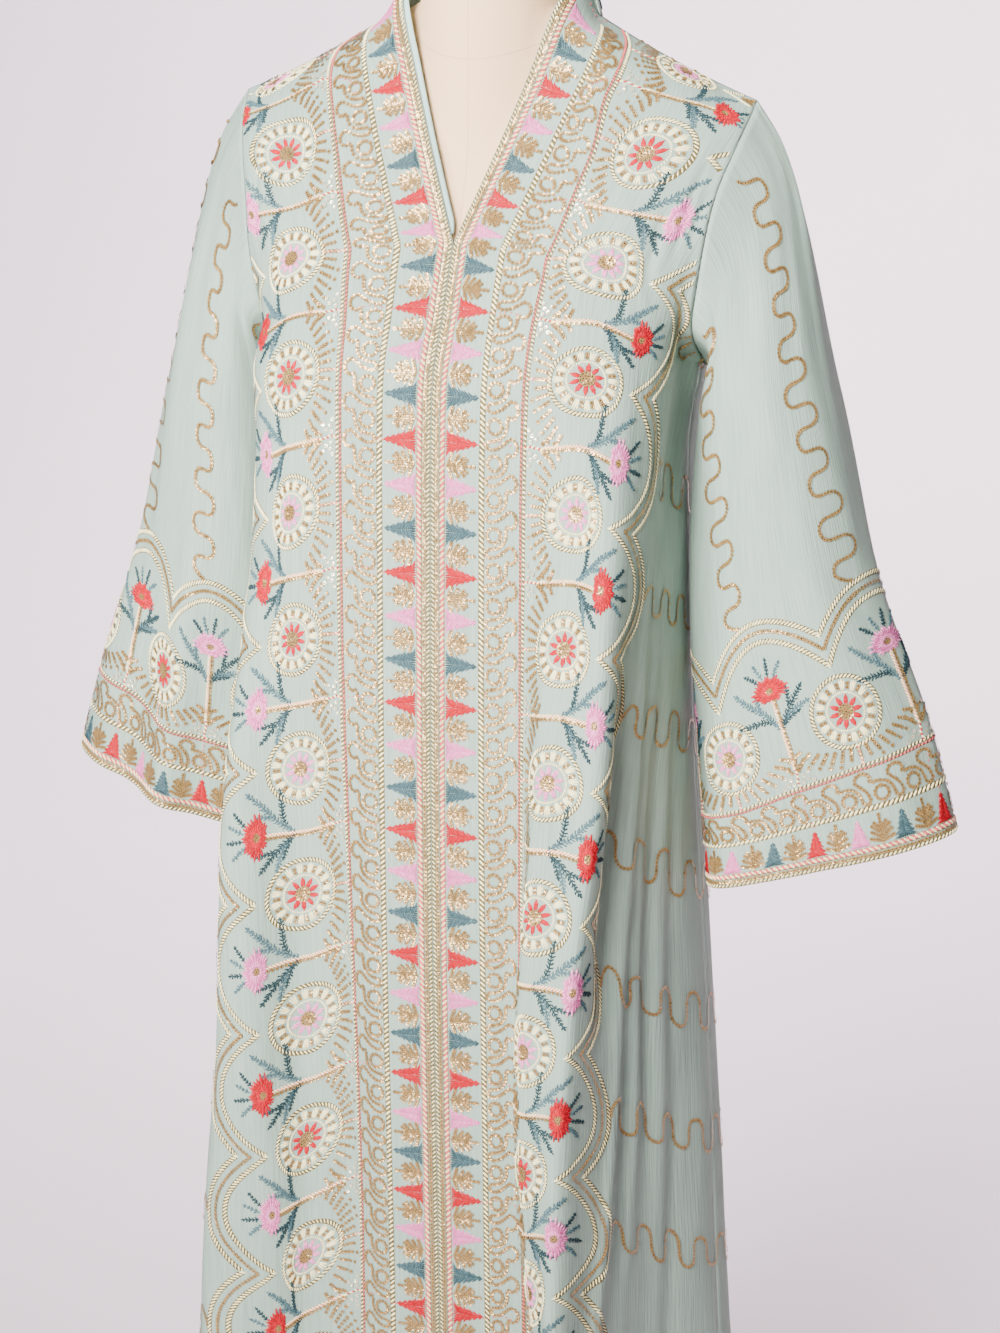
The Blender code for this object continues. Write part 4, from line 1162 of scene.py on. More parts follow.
@dataclass
class Border:
    """The embroidered border, drawn outwards from an edge: the same on fronts and cuffs.

    The pitch is the distance between rosettes, and each pitch has three triangles.
    """

    work: Needlework
    pitch: float
    low: float
    high: float
    colour_step: int = 2
    wave_end: float = 0.4
    wave_length: float = 0.035
    wave_height: float = 0.0134
    wave_lean: tuple[float, float] = (0.0, 0.0)
    rosette_at: float = 0.1175
    flower_at: float = 0.153
    cusp: float = 0.154
    rise: float = 0.037
    spike: float = 1.0
    braid_sequins: float = 0.005
    triangle_foot: float = 0.0116
    triangle_length: float = 0.0245
    triangle_width: float = 0.0096
    sprig_foot: float = 0.0138
    sprig_tip: float = 0.0286
    wheel: float = 0.0274
    hub: float = 0.0148
    flower_width: float = 0.0178
    arch_gap: float = 0.0078

    def at(self, u: float, v: float, angle: Array | float, radius: Array | float) -> Array:
        """Places round a centre, the angle taken from the way out from the edge."""
        angle, radius = np.broadcast_arrays(angle, radius)
        return np.stack([u + radius * np.cos(angle), v + radius * np.sin(angle)], axis=-1).reshape(-1, 2)

    def along(self, u: float) -> Array:
        """A line along the whole border at a distance from the edge."""
        return straight(u, self.low, u, self.high)

    def rope(self, kind: Rope) -> None:
        """Sew a rope along the whole border."""
        line = self.along(kind.away) + (0.0, kind.ahead)
        self.work.chain(line, kind.width, kind.thread, kind.pitch, kind.slant, kind.thick, kind.shade_band)

    def trim(self) -> None:
        """The braid at the edge: a cream chain, a row of sequins and a pink and white chain."""
        self.rope(EDGE_ROPE)
        self.work.sequin_line(self.along(self.braid_sequins))
        for kind in BRAID_ROPES:
            self.rope(kind)

    def lines(self) -> None:
        """The cream line, the winding sequin line with its rings, and the pink line."""
        for kind in LINE_ROPES:
            self.rope(kind)
        span = self.high - self.low
        turned = flow(np.array(MEANDER) / 1000.0)
        ring = circle(MEANDER_RING[0] / 1000.0, 0.0, MEANDER_RING[1] / 1000.0, 33)[:-1]
        upright = self.work.surface.upright
        for k in range(int(span / MEANDER_REPEAT) + 1):
            v = self.high - k * MEANDER_REPEAT
            self.work.sequin_line(upright(ring + (0.0, v)))
            self.work.sequin_line(upright(turned * (1, -1) + (0.0, v)))

    def triangle(self, v: float, thread: Thread) -> None:
        """A satin triangle pointing out from the braid, feathered from its spine to its sides.

        Args:
            v: its place along the border.
            thread: its colour.
        """
        base, count = self.triangle_foot, 14
        length, wide = self.triangle_length * self.spike, self.triangle_width * self.spike
        # The lower layer is the shaded copy of the colour: painted shade between the strokes
        for shift, shade, width in ((0.5, SHADED_COPY[thread], 0.0012), (0.0, thread, 0.0012)):
            t = (np.arange(count) + shift) * 0.92 / count
            uneven = 0.0008 * np.cos(np.arange(count) * 2.4 + shift)
            half = (wide * (1.0 - t) ** 1.1 + 0.0009) * (1.0 - 0.16 * shift)
            for sign in (-1, 1):
                start = np.stack([base + length * np.clip(t + 0.17, 0, 1.02),
                                  np.full(count, v - sign * 0.0008)], axis=1)
                end = np.stack([base + length * t + uneven * 0.3, v + sign * (half + uneven)], axis=1)
                self.work.stitch(start, end, width, shade)
        self.work.stitch([[base + length * 0.72, v]], [[base + length * 1.06, v]], 0.0014, thread)
        # The feet take the shaded copy: painted shade at the triangle's base
        across = np.linspace(-0.77, 0.77, 8) * wide
        foot = np.stack([np.full(8, base - 0.0002), v + across], axis=1)
        rise = np.stack([np.full(8, 0.0046), -across * 0.35], axis=1)
        self.work.stitch(foot, foot + rise, 0.0014, SHADED_COPY[thread])

    def sprig(self, v: float) -> None:
        """A sprig of sequins: a stem with slanting branches like a fir twig.

        Args:
            v: its place along the border.
        """
        self.work.sequin_line(straight(self.sprig_foot, v, self.sprig_tip, v), 0.0024)
        self.work.sequins([[0.0314, v], [0.0344, v]], 0.0)
        plan = ((0.014, 4, 72), (0.0166, 4, 55), (0.02, 4, 46), (0.0234, 3, 40))
        for root, count, spread in plan:
            for sign in (-1, 1):
                heading = math.radians(spread)
                steps = 0.0023 * np.arange(1, count + 1)
                self.work.sequins(np.stack([root + steps * math.cos(heading),
                                            v + sign * steps * math.sin(heading)], 1), sign * heading)

    def rosette(self, v: float, thread: Thread) -> None:
        """A wheel: cream rings and petals, pairs of sequins, and a flower with a sequin heart.

        Args:
            v: its place along the border.
            thread: its colour.
        """
        work, u = self.work, self.rosette_at
        work.chain(circle(u, v, self.wheel), 0.0036, Thread.CREAM, 0.0031, 45, 0.0013, shade_band=True)
        work.chain(circle(u, v, self.hub), 0.0018, Thread.CREAM, 0.002, 40, 0.0011)
        count = 15
        angle = (np.arange(count) + 0.5) * 2 * np.pi / count
        for spread in (-0.08, 0.0, 0.08):
            inner = self.at(u, v, angle + spread * 0.7, 0.0157 + abs(spread) * 0.006)
            outer = self.at(u, v, angle + spread, 0.0258 - abs(spread) * 0.014)
            work.stitch(inner, outer, 0.0015, Thread.CREAM)
        between = np.arange(count) * 2 * np.pi / count
        for radius in (0.0186, 0.0216):
            work.sequins(self.at(u, v, between, radius), between)
        petals = np.arange(10) * 2 * np.pi / 10 + 0.3
        for spread in (-0.13, 0.0, 0.13):
            inner = self.at(u, v, petals + spread * 1.5, 0.0054)
            outer = self.at(u, v, petals + spread * 0.55, 0.0142 - abs(spread) * 0.014)
            work.stitch(inner, outer, 0.0017, thread)
        for radius, count in ((0.0, 1), (0.0025, 6), (0.0049, 11)):
            ring = np.arange(count) * 2 * np.pi / count
            work.sequins(self.at(u, v, ring, radius), ring)
        stalk = straight(0.0748, v, u - 0.0288, v)
        work.chain(stalk, 0.0022, Thread.ROSE, 0.0034, 40, 0.0014)
        work.chain(stalk + (0.0017, 0.0), 0.0022, Thread.CREAM, 0.0034, 40, 0.0014)

    def rays(self, v: float) -> None:
        """Short dashes of sequins in an arc between the rosette and the pink line.

        Args:
            v: the rosette's place along the border.
        """
        u = self.rosette_at
        for k in (np.arange(15) - 7) / 7.0:
            inner = np.array((u - 0.0325 + 0.015 * k * k, v + k * self.pitch * 0.452))
            way = unit(inner - (u, v))
            heading = math.atan2(way[1], way[0])
            for reach in (-0.0036, -0.001, 0.0016, 0.0042, 0.0084):
                spot = inner + way * reach
                if spot[0] > 0.0772:
                    self.work.sequins([spot], heading)

    def stem(self, v: float) -> None:
        """The stalk of a flower, from the pink line out to its head.

        Args:
            v: its place along the border.
        """
        work, head = self.work, self.flower_at
        wiggle = flow(np.array([(0.0125, v), (0.024, v + 0.0022), (0.038, v - 0.0006),
                                (0.053, v + 0.0026), (0.064, v + 0.0006), (0.0712, v)]))
        work.chain(wiggle, 0.0009, Thread.ROSE, 0.0042, 22, 0.0009)
        wiggle = flow(np.array([(0.0745, v), (0.079, v + 0.0007), (0.084, v - 0.0007), (0.0895, v)]))
        work.chain(wiggle, 0.0018, Thread.CORAL, 0.0036, 35, 0.0014)
        work.chain(wiggle + (0.0018, 0.0), 0.002, Thread.CREAM, 0.0036, 35, 0.0014)
        for sign in (-1, 1):
            spots = np.array(PALE_SPOTS) * (1, sign) + (0.0, v)
            work.sequins(spots, 0.0, Thread.PALE_SEQUIN)
            steps = np.arange(5)
            spots = np.stack([0.088 + 0.0019 * steps, v + sign * (0.003 + 0.0017 * steps)], axis=1)
            work.sequins(spots, sign * 0.8)
        line = straight(0.0895, v, head - 0.008, v)
        work.chain(line, 0.0032, Thread.CREAM, 0.0026, 36, 0.0015)
        work.chain(line + (0.0013, 0.0), 0.003, Thread.ROSE, 0.0026, 36, 0.001)
        places, heading = walk(line + (0.0, -0.0022), 0.0033)
        work.sequins(places, heading)

    def twig(self, line: Array, leaf: float, shade: Thread) -> None:
        """A feathery twig: a thin bending stalk with leaflets on both sides.

        Args:
            line: pattern places along the stalk.
            leaf: the length of its leaflets.
            shade: its thread.
        """
        places, heading = walk(flow(line), 0.0027)
        self.work.stitch(places[:-1], places[1:] + 0.3 * (places[1:] - places[:-1]), 0.0011, shade)
        count = len(places)
        size = leaf * (0.62 + 0.32 * np.sin(np.pi * (np.arange(count) + 0.7) / count)
                       + 0.14 * np.cos(np.arange(count) * 2.3 + line[0, 1] * 900.0))
        for sign in (-1, 1):
            out = heading + sign * np.radians(48 + 9 * np.sin(2.1 * np.arange(count) + sign))
            tips = places + np.stack([np.cos(out), np.sin(out)], 1) * size[:, None]
            self.work.stitch(places[1:], tips[1:], 0.0013, shade)
        end = np.array((math.cos(heading[-1]), math.sin(heading[-1])))
        self.work.stitch(places[-1:], places[-1:] + end * leaf, 0.0014, shade)

    def flower(self, v: float, thread: Thread) -> None:
        """A flower of radiating stitches with a sequin heart, on its stem with its twigs.

        Args:
            v: its place along the border.
            thread: its colour.
        """
        work, u = self.work, self.flower_at
        self.stem(v)
        count = 30
        fan = np.arange(count) * 2 * np.pi / count
        outward = np.where(np.cos(fan) > 0, 0.0108, 0.0076)
        reach = 1.0 / np.sqrt((np.cos(fan) / outward) ** 2 + (np.sin(fan) / self.flower_width) ** 2)
        reach = reach * (1.0 + 0.09 * np.cos(fan * 8 + 0.5) + 0.05 * np.cos(np.arange(count) * 2.4))
        work.stitch(self.at(u, v, fan, 0.0018), self.at(u, v, fan, reach * 0.62), 0.0016, thread)
        # The middle ring takes the shaded copy: painted shade inside the flower
        work.stitch(self.at(u, v, fan + 0.1, reach * 0.36), self.at(u, v, fan + 0.1, reach * 0.9),
                    0.0014, SHADED_COPY[thread])
        work.stitch(self.at(u, v, fan, reach * 0.56), self.at(u, v, fan, reach * 1.04), 0.0018, thread)
        work.sequins(self.at(u, v, np.arange(5) * 1.257, 0.0026), 0.0)
        work.sequins([[u, v]], 0.0)
        fork = np.array((u - 0.032, v))
        # Twigs in shade take the shaded copy of teal: painted shade
        for line, leaf, in_shade in TWIGS:
            shade = Thread.DEEP_TEAL if in_shade else Thread.TEAL
            self.twig(fork + np.array(line) / 1000.0, leaf / 1200.0, shade)

    def scallop(self, v: float) -> None:
        """Three lines arching over a flower: cream, sequins, cream.

        Args:
            v: its place along the border.
        """
        t = np.linspace(-0.62, 0.62, 121)
        arch = np.stack([self.cusp + self.rise * (1.0 - np.abs(2 * t) ** 2.1), v + t * self.pitch], 1)
        way = unit(np.gradient(arch, axis=0))
        normal = np.stack([way[:, 1], -way[:, 0]], 1)
        for offset, plain in ((0.0, True), (self.arch_gap, False), (0.015, True)):
            line = arch + normal * offset
            line = line[np.abs(line[:, 1] - v) <= self.pitch * 0.5]
            if plain:
                self.work.chain(line, 0.0042, Thread.CREAM, 0.0031, 45, 0.0013, shade_band=True)
            else:
                self.work.sequin_line(line)

    def wave(self, v: float, start: float, seed: int) -> None:
        """A winding row of sequins running out from a scallop's crown.

        Args:
            v: its place along the border.
            start: the distance from the edge where it starts.
            seed: picks how it wavers.
        """
        draw = np.random.default_rng(seed)
        phase = np.linspace(0.0, 2 * np.pi * (self.wave_end - start) / self.wave_length, 900)
        height = self.wave_height * (1.0 + 0.1 * np.sin(phase * 0.31 + draw.uniform(0, 6)))
        u = start + phase / (2 * np.pi) * self.wave_length - self.wave_length * 0.08 * np.sin(2 * phase)
        ease = np.clip(phase / 1.5, 0.0, 1.0)
        lean = self.wave_lean[0] + self.wave_lean[1] * (u - start)
        self.work.sequin_line(np.stack([u, v + lean + height * np.sin(phase) * ease], 1))

    def ticks(self, step: float) -> Array:
        """The numbers whose multiples of a step fall on the border or just beyond it."""
        return np.arange(math.floor(self.low / step) - 1, math.ceil(self.high / step) + 1)

    def covers(self, v: float, margin: float) -> bool:
        """Whether a place is on the border, or within a margin of its ends."""
        return self.low - margin < v < self.high + margin

    def draw(self) -> None:
        """Draw the whole border but for its braid."""
        self.lines()
        third = self.pitch / 3.0
        colours = (Thread.CORAL, Thread.PINK, Thread.TEAL)
        for n in self.ticks(third):
            v = (n - 0.5) * third
            if self.covers(v, -0.006):
                self.triangle(v, colours[(-n + self.colour_step) % 3])
            if self.covers(v + third / 2, -0.008):
                self.sprig(v + third / 2)
        for k in self.ticks(self.pitch):
            v = k * self.pitch
            if self.covers(v, 0.035):
                self.rosette(v, Thread.CORAL if k % 2 else Thread.PINK)
                self.rays(v)
            v += self.pitch / 2
            if self.covers(v, 0.05):
                self.flower(v, Thread.CORAL if k % 2 else Thread.PINK)
                self.scallop(v)
                self.wave(v, self.cusp + self.rise + 0.0165, 100 + int(k))


class Bench:
    """A new material on the bench, and the nodes added to it."""

    def __init__(self, name: str) -> None:
        """Start the material.

        Args:
            name: what it is called.
        """
        self.made = bpy.data.materials.new(name)
        self.made.use_nodes = True
        self.tree = self.made.node_tree
        self.shader = self.tree.nodes["Principled BSDF"]

    def put(self, node: bpy.types.Node, inputs: Inputs) -> None:
        """Set the inputs of a node.

        Args:
            node: the node.
            inputs: a value for an input, or the output of another node that is joined to it.
        """
        for key, value in inputs.items():
            if isinstance(value, Socket):
                self.tree.links.new(value, node.inputs[key])
            else:
                node.inputs[key].default_value = value

    def add(self, kind: str, inputs: Inputs, operation: str = "") -> bpy.types.Node:
        """Add a node.

        Args:
            kind: its type, without the words that all have in front.
            inputs: what its inputs are given.
            operation: what it works out, where it has a choice.

        Returns:
            The node.
        """
        node = self.tree.nodes.new("ShaderNode" + kind)
        if operation:
            node.operation = operation
        self.put(node, inputs)
        return node

    def math(self, operation: str, *values: float | Socket) -> Socket:
        """A sum worked out from values or other nodes."""
        return self.add("Math", dict(enumerate(values)), operation).outputs[0]

    def noise(self, spot: Socket, scale: Triple, detail: float) -> Socket:
        """A noise over places stretched by a scale along each axis."""
        mapped = self.add("Mapping", {"Vector": spot, "Scale": scale}).outputs["Vector"]
        return self.add("TexNoise", {"Vector": mapped, "Scale": 1.0, "Detail": detail}).outputs["Fac"]

    def span(self, value: Socket, low: tuple[float, float], high: tuple[float, float]) -> Socket:
        """A value stretched between two ends; each end is a value and what it becomes."""
        ends = {"From Min": low[0], "From Max": high[0], "To Min": low[1], "To Max": high[1]}
        return self.add("MapRange", {"Value": value, **ends}).outputs["Result"]

    def ramp(self, value: Socket, *stops: tuple[float, Colour]) -> Socket:
        """Colours that follow a value.

        Args:
            value: what they follow.
            stops: rising values, each with its colour.

        Returns:
            The colour.
        """
        node = self.add("ValToRGB", {"Fac": value})
        elements = node.color_ramp.elements
        for end, (place, _) in ((0, stops[0]), (1, stops[-1])):
            elements[end].position = place
        for place, _ in stops[1:-1]:
            elements.new(place)
        for element, (_, colour) in zip(elements, stops):
            element.color = (*colour, 1.0)
        return node.outputs["Color"]

    def tone(self, colour: Socket, strength: Socket) -> Socket:
        """A colour made lighter or darker."""
        return self.add("VectorMath", {0: colour, "Scale": strength}, "SCALE").outputs["Vector"]


@dataclass(frozen=True)
class Finish:
    """A surface made of nodes: its colours, gloss and small relief.

    A seam is an axis, a place on it and how much the seam bends away from the middle.
    """

    name: str
    colour: Colour
    second: Colour
    roughness: float
    metallic: float = 0.0
    sheen: float = 0.0
    scale: Triple = (400.0, 400.0, 400.0)
    bump: float = 0.1
    depth: float = 0.0004
    weave: float = 0.0
    crumple: float = 0.0
    use_uv: bool = False
    seams: tuple[tuple[str, float, float], ...] = ()

    def build(self) -> Material:
        """Make the material.

        Returns:
            The new material.
        """
        bench = Bench(self.name)
        spot = bench.add("TexCoord", {}).outputs["UV" if self.use_uv else "Object"]
        noise = bench.noise(spot, self.scale, 3.0)
        colour = bench.ramp(noise, (0.32, self.second), (0.68, self.colour))
        for axis, place, bend in self.seams:
            parts = bench.add("SeparateXYZ", {"Vector": spot}).outputs
            line = bench.math("MULTIPLY_ADD", bench.math("MULTIPLY", parts["X"], parts["X"]), bend, place)
            away = bench.math("ABSOLUTE", bench.math("SUBTRACT", parts[axis], line))
            colour = bench.tone(colour, bench.span(away, (0.0, SEAM_SHADE), (SEAM_WIDTH, 1.0)))
        rough = max(0.05, self.roughness - ROUGH_SWING), min(1.0, self.roughness + ROUGH_SWING)
        relief = {"Strength": self.bump, "Distance": self.depth, "Height": noise}
        normal = bench.add("Bump", relief).outputs["Normal"]
        for strength, scale, depth in ((self.weave, *WEAVE), (self.crumple, *CRUMPLE)):
            if strength > 0.0:
                relief = {"Strength": strength, "Distance": depth, "Height": bench.noise(spot, scale, 1.0),
                          "Normal": normal}
                normal = bench.add("Bump", relief).outputs["Normal"]
        bench.put(bench.shader, {
            "Base Color": colour, "Metallic": self.metallic, "Normal": normal,
            "Roughness": bench.span(noise, (0.0, rough[0]), (1.0, rough[1])),
            "Specular IOR Level": 0.12, "Sheen Weight": self.sheen, "Sheen Roughness": 0.45})
        return bench.made


@dataclass(frozen=True)
class SequinFinish:
    """A cupped metallic disc: its face, painted shade at its rim, and the hole in its middle painted dark
    for the thread through it and for painted shadow.
    """

    name: str
    colour: Colour
    rim: Colour
    hole: Colour

    def build(self) -> Material:
        """Make the material.

        Returns:
            The new material.
        """
        bench = Bench(self.name)
        source = bench.add("TexCoord", {}).outputs
        radius = bench.add("SeparateXYZ", {"Vector": source["UV"]}).outputs["X"]
        # Dark middle: the thread plus painted shadow in the hole; dark edge: painted shade at the rim
        disc = bench.ramp(radius, (0.33, self.hole), (0.4, self.colour), (0.76, self.colour),
                          (1.0, self.rim))
        noise = bench.add("TexNoise", {"Vector": source["Object"], "Scale": 420.0}).outputs["Fac"]
        bench.put(bench.shader, {
            "Base Color": bench.tone(disc, bench.span(noise, (0.35, 0.72), (0.65, 1.12))),
            "Metallic": bench.span(radius, (0.3, 0.0), (0.36, 0.38)), "Roughness": 0.28})
        return bench.made


# Fine relief of the cloth: its scale along each axis and its depth
WEAVE = ((1500.0, 900.0, 1200.0), 0.0002)
CRUMPLE = ((19.0, 8.0, 12.0), 0.005)
# Half width of a seam drawn on the form, and how dark it is
SEAM_WIDTH = 0.0009
SEAM_SHADE = 0.8
# How far the roughness strays to both sides of its value
ROUGH_SWING = 0.06
CLOTH = Finish("sage_cloth", (0.34, 0.432, 0.372), (0.27, 0.358, 0.305), 0.6, scale=(520.0, 22.0, 200.0),
               bump=0.7, depth=0.0008, weave=0.5, crumple=0.7, use_uv=True)
FACING = Finish("facing_cloth", (0.43, 0.59, 0.56), (0.37, 0.53, 0.5), 0.6, bump=0.2)
FORM = Finish("form_cover", (0.9, 0.6, 0.365), (0.86, 0.565, 0.335), 0.85, scale=(900.0, 900.0, 500.0),
              bump=0.3, seams=(("X", 0.0, 0.0), ("Z", 1.416, 5.0)))
STEEL = Finish("satin_steel", (0.55, 0.55, 0.56), (0.46, 0.46, 0.47), 0.32, metallic=0.95,
               scale=(60.0, 60.0, 900.0), bump=0.05)
FLOOR = Finish("pale_floor", (0.94, 0.8, 0.875), (0.92, 0.78, 0.855), 0.9, scale=(3.0, 3.0, 3.0),
               bump=0.02)
# Scale of the thread's fine streaks
YARN = (700.0, 700.0, 700.0)
THREADS = {
    Thread.CREAM: Finish("cream_thread", (1.0, 0.92, 0.56), (0.88, 0.77, 0.4), 0.32,
                         sheen=0.2, scale=YARN),
    Thread.CORAL: Finish("coral_thread", (0.64, 0.02, 0.04), (0.34, 0.004, 0.01), 0.45, scale=YARN),
    Thread.PINK: Finish("pink_thread", (0.9, 0.36, 0.6), (0.62, 0.12, 0.31), 0.42, scale=YARN),
    Thread.TEAL: Finish("teal_thread", (0.12, 0.21, 0.24), (0.036, 0.076, 0.09), 0.45, scale=YARN),
    Thread.ROSE: Finish("rose_thread", (0.78, 0.15, 0.16), (0.62, 0.09, 0.1), 0.45, sheen=0.1),
    # Sequin colours: face, painted shade at the rim, and the hole's thread with painted shadow
    Thread.SEQUIN: SequinFinish("gold_sequin", (0.55, 0.335, 0.12), (0.09, 0.045, 0.016),
                                (0.015, 0.008, 0.003)),
    Thread.PALE_SEQUIN: SequinFinish("pale_sequin", (0.95, 0.88, 0.66), (0.5, 0.42, 0.26),
                                     (0.18, 0.13, 0.07)),
    # Shaded copy of teal: painted shade
    Thread.DEEP_TEAL: Finish("shaded_teal_thread", (0.03, 0.062, 0.073), (0.018, 0.038, 0.045), 0.42,
                             scale=YARN),
    # Painted shade under the ropes, not a thread of the garment
    Thread.SHADE: Finish("painted_shade_band", (0.15, 0.11, 0.045), (0.09, 0.07, 0.03), 0.6),
    # Shaded copies of coral and pink: painted shade
    Thread.DEEP_CORAL: Finish("shaded_coral_thread", (0.4, 0.006, 0.014), (0.28, 0.004, 0.01), 0.45),
    Thread.DEEP_PINK: Finish("shaded_pink_thread", (0.64, 0.13, 0.34), (0.52, 0.09, 0.27), 0.45),
}
# The shaded copy of each colour, laid as painted shade between its strokes
SHADED_COPY = {Thread.CORAL: Thread.DEEP_CORAL, Thread.PINK: Thread.DEEP_PINK, Thread.TEAL: Thread.DEEP_TEAL}


@dataclass
class Palette:
    """Every material of the model, each made once."""

    cloth: Material
    facing: Material
    form: Material
    steel: Material
    floor: Material
    threads: list[Material]

    @classmethod
    def make(cls) -> "Palette":
        """Build the finishes."""
        threads = [THREADS[thread].build() for thread in sorted(Thread, key=lambda t: t.value)]
        return cls(CLOTH.build(), FACING.build(), FORM.build(), STEEL.build(), FLOOR.build(), threads)


@dataclass
class Body:
    """The two fronts, the back, the neck band and the facing, with their needlework."""

    palette: Palette
    skirt_rows: int = 164
    yoke_rows: int = 62
    back_yoke_rows: int = 46
    front_columns: int = 62
    back_columns: int = 44
    pitch: float = 0.1005
    map_step: float = 0.003
    map_reach: float = 0.46
    curl: float = 0.001
    hold_reach: float = 0.03
    arm_reach: float = 0.012
    maps: dict[Side, BodyMap] = field(default_factory=dict)
    armholes: dict[Side, tuple[Array, ...]] = field(default_factory=dict)
    halves: dict[Side, tuple] = field(default_factory=dict)

    def levels(self, top: float, rows: int) -> Array:
        """Levels of the rows from the hem to the top, so many of them above the bust."""
        skirt = np.linspace(BUST_LEVEL + HEM_HEIGHT - BUST_HEIGHT, BUST_LEVEL, self.skirt_rows)
        return np.concatenate([skirt, np.linspace(BUST_LEVEL, top, rows + 1)[1:]])

    def surfaces(self, side: Side) -> None:
        """Work out the folded front and half back of a side.

        Args:
            side: the wearer's side.
        """
        front_levels = self.levels(SHOULDER_LEVEL, self.yoke_rows)
        back_levels = self.levels(BACK_LEVEL, self.back_yoke_rows)
        front, front_columns = HalfSurface(side, 0, SIDE_COLUMN).grid(front_levels)
        back, back_columns = HalfSurface(side, SIDE_COLUMN, BACK_COLUMN).grid(back_levels)
        front_arc, back_arc = arc_lengths(front), arc_lengths(back)
        ends = front_arc[:, -1]
        back_ends = np.interp(back_levels, front_levels[:self.skirt_rows], ends[:self.skirt_rows])
        front_normal = grid_normals(front)
        back_normal = grid_normals(back)
        shared = slice(0, self.skirt_rows)
        seam = unit(front_normal[shared, -1] + back_normal[shared, 0])
        front_normal[shared, -1] = seam
        back_normal[shared, 0] = seam
        relief = body_relief(side, front_columns, front_arc, front_levels)
        front = self.fold(front, front_normal, relief, front_levels, ends[:, None] - front_arc)
        relief = body_relief(side, back_columns, back_ends[:, None] + back_arc, back_levels)
        middle = smooth_step((back_arc[:, -1:] - back_arc) / self.hold_reach)
        back = self.fold(back, back_normal, relief, back_levels, back_arc, 0.2 + 0.8 * middle)
        self.halves[side] = (front, front_levels, back, back_levels)
        first = self.skirt_rows - 1
        front_way = unit(front[first:, -1] - front[first:, -4])
        back_way = unit(back[first:, 0] - back[first:, 3])
        self.armholes[side] = tuple(grid * side.mirror for grid in (
            front[first:, -1], front_way, front_normal[first:, -1],
            back[first:, 0], back_way, back_normal[first:, 0]))
        self.maps[side] = self.pattern_map(side, front, front_levels, back)

    def fold(self, points: Array, normal: Array, relief: Array, levels: Array, from_arm: Array,
             share: Array | float = 1.0) -> Array:
        """Move a surface out by its relief, which dies away at the shoulder and the armhole.

        Args:
            points: the surface, rows by places.
            normal: its outward normals.
            relief: how far each place moves.
            levels: the level of each row, up to the shoulder.
            from_arm: the distance of each place from the armhole's edge.
            share: the part of the relief that stays.

        Returns:
            The folded surface.
        """
        hold = smooth_step((levels[-1] - levels) / self.hold_reach)[:, None]
        arm = np.where(levels > BUST_LEVEL, 1.0, 0.0)[:, None]
        near_arm = 1.0 - arm * (1.0 - smooth_step(from_arm / self.arm_reach))
        return points + unit(normal * (1, 1, 0.3)) * (relief * hold * near_arm * share)[..., None]

    def pattern_map(self, side: Side, front: Array, levels: Array, back: Array) -> BodyMap:
        """Resample a side at even distances from its front edge.

        Args:
            side: the wearer's side.
            front: the folded front, rows by places.
            levels: the level of each of its rows.
            back: the folded half back.

        Returns:
            The side's surface, read by pattern places.
        """
        step = self.map_step
        arcs = arc_lengths(front)
        where = np.arange(0.0, self.map_reach, step)
        rows = []
        lengths = []
        for k, (line, arc) in enumerate(zip(front, arcs)):
            if k < self.skirt_rows:
                line = np.vstack([line, back[k, 1:]])
                arc = arc_lengths(line)
            rows.append(read_line(where, arc, line))
            lengths.append(arc[-1])
        grid = np.array(rows)
        normals = grid_normals(grid)
        for k, length in enumerate(lengths):
            last = min(int(length / step) - 1, len(where) - 1)
            normals[k, last:] = normals[k, last - 1]
        return BodyMap(grid * side.mirror, normals * side.mirror, levels, np.array(lengths), step, side)

    def panel(self, points: Array, columns: int, side: Side) -> tuple[Array, Array, Array]:
        """Resample a folded half at even distances along each row.

        Args:
            points: the dense grid, rows by places.
            columns: how many places to keep.
            side: the side it is on.

        Returns:
            Points, outward normals and distances along the rows.
        """
        arcs = arc_lengths(points)
        out, where = [], []
        for line, arc in zip(points, arcs):
            query = np.linspace(0.0, arc[-1], columns)
            out.append(read_line(query, arc, line))
            where.append(query)
        grid = np.array(out)
        return grid * side.mirror, grid_normals(grid) * side.mirror, np.array(where)

    def fronts(self) -> list[Piece]:
        """Make both fronts.

        Returns:
            The two pieces.
        """
        made = []
        for side in Side:
            front, levels, _, _ = self.halves[side]
            outer, normal, where = self.panel(front, self.front_columns, side)
            outer[levels <= 0.0, 0, 0] = side.value * SEAM_GAP / 2
            outer[-1, :, 1] -= SEAM_GAP / 2
            name = "front_" + side.key
            uv = pattern_places(where, levels)
            cloth = cloth_wall("cloth_" + name, outer, normal, uv, self.palette.cloth)
            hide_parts(name)
            made.append(cloth)
        return made

    def back(self) -> Piece:
        """Make the back in one piece.

        Returns:
            The piece.
        """
        sides = []
        for side in Side:
            _, _, back, levels = self.halves[side]
            grid, normal, where = self.panel(back, self.back_columns, side)
            on_shoulder = grid[-1, :, 1] < 1e-4
            grid[-1, on_shoulder, 1] += SEAM_GAP / 2
            sides.append((grid, normal, where))
        (left, left_normal, left_where), (right, right_normal, right_where) = sides
        outer = np.concatenate([left, right[:, -2::-1]], axis=1)
        normal = np.concatenate([left_normal, right_normal[:, -2::-1]], axis=1)
        middle = self.back_columns - 1
        normal[:, middle, 0] = 0.0
        normal[:, middle] = unit(normal[:, middle])
        across = np.concatenate([left_where, 2 * left_where[:, -1:] - right_where[:, -2::-1]], axis=1)
        cloth = cloth_wall("cloth_back", outer, normal, pattern_places(across, levels), self.palette.cloth)
        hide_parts("back")
        return cloth

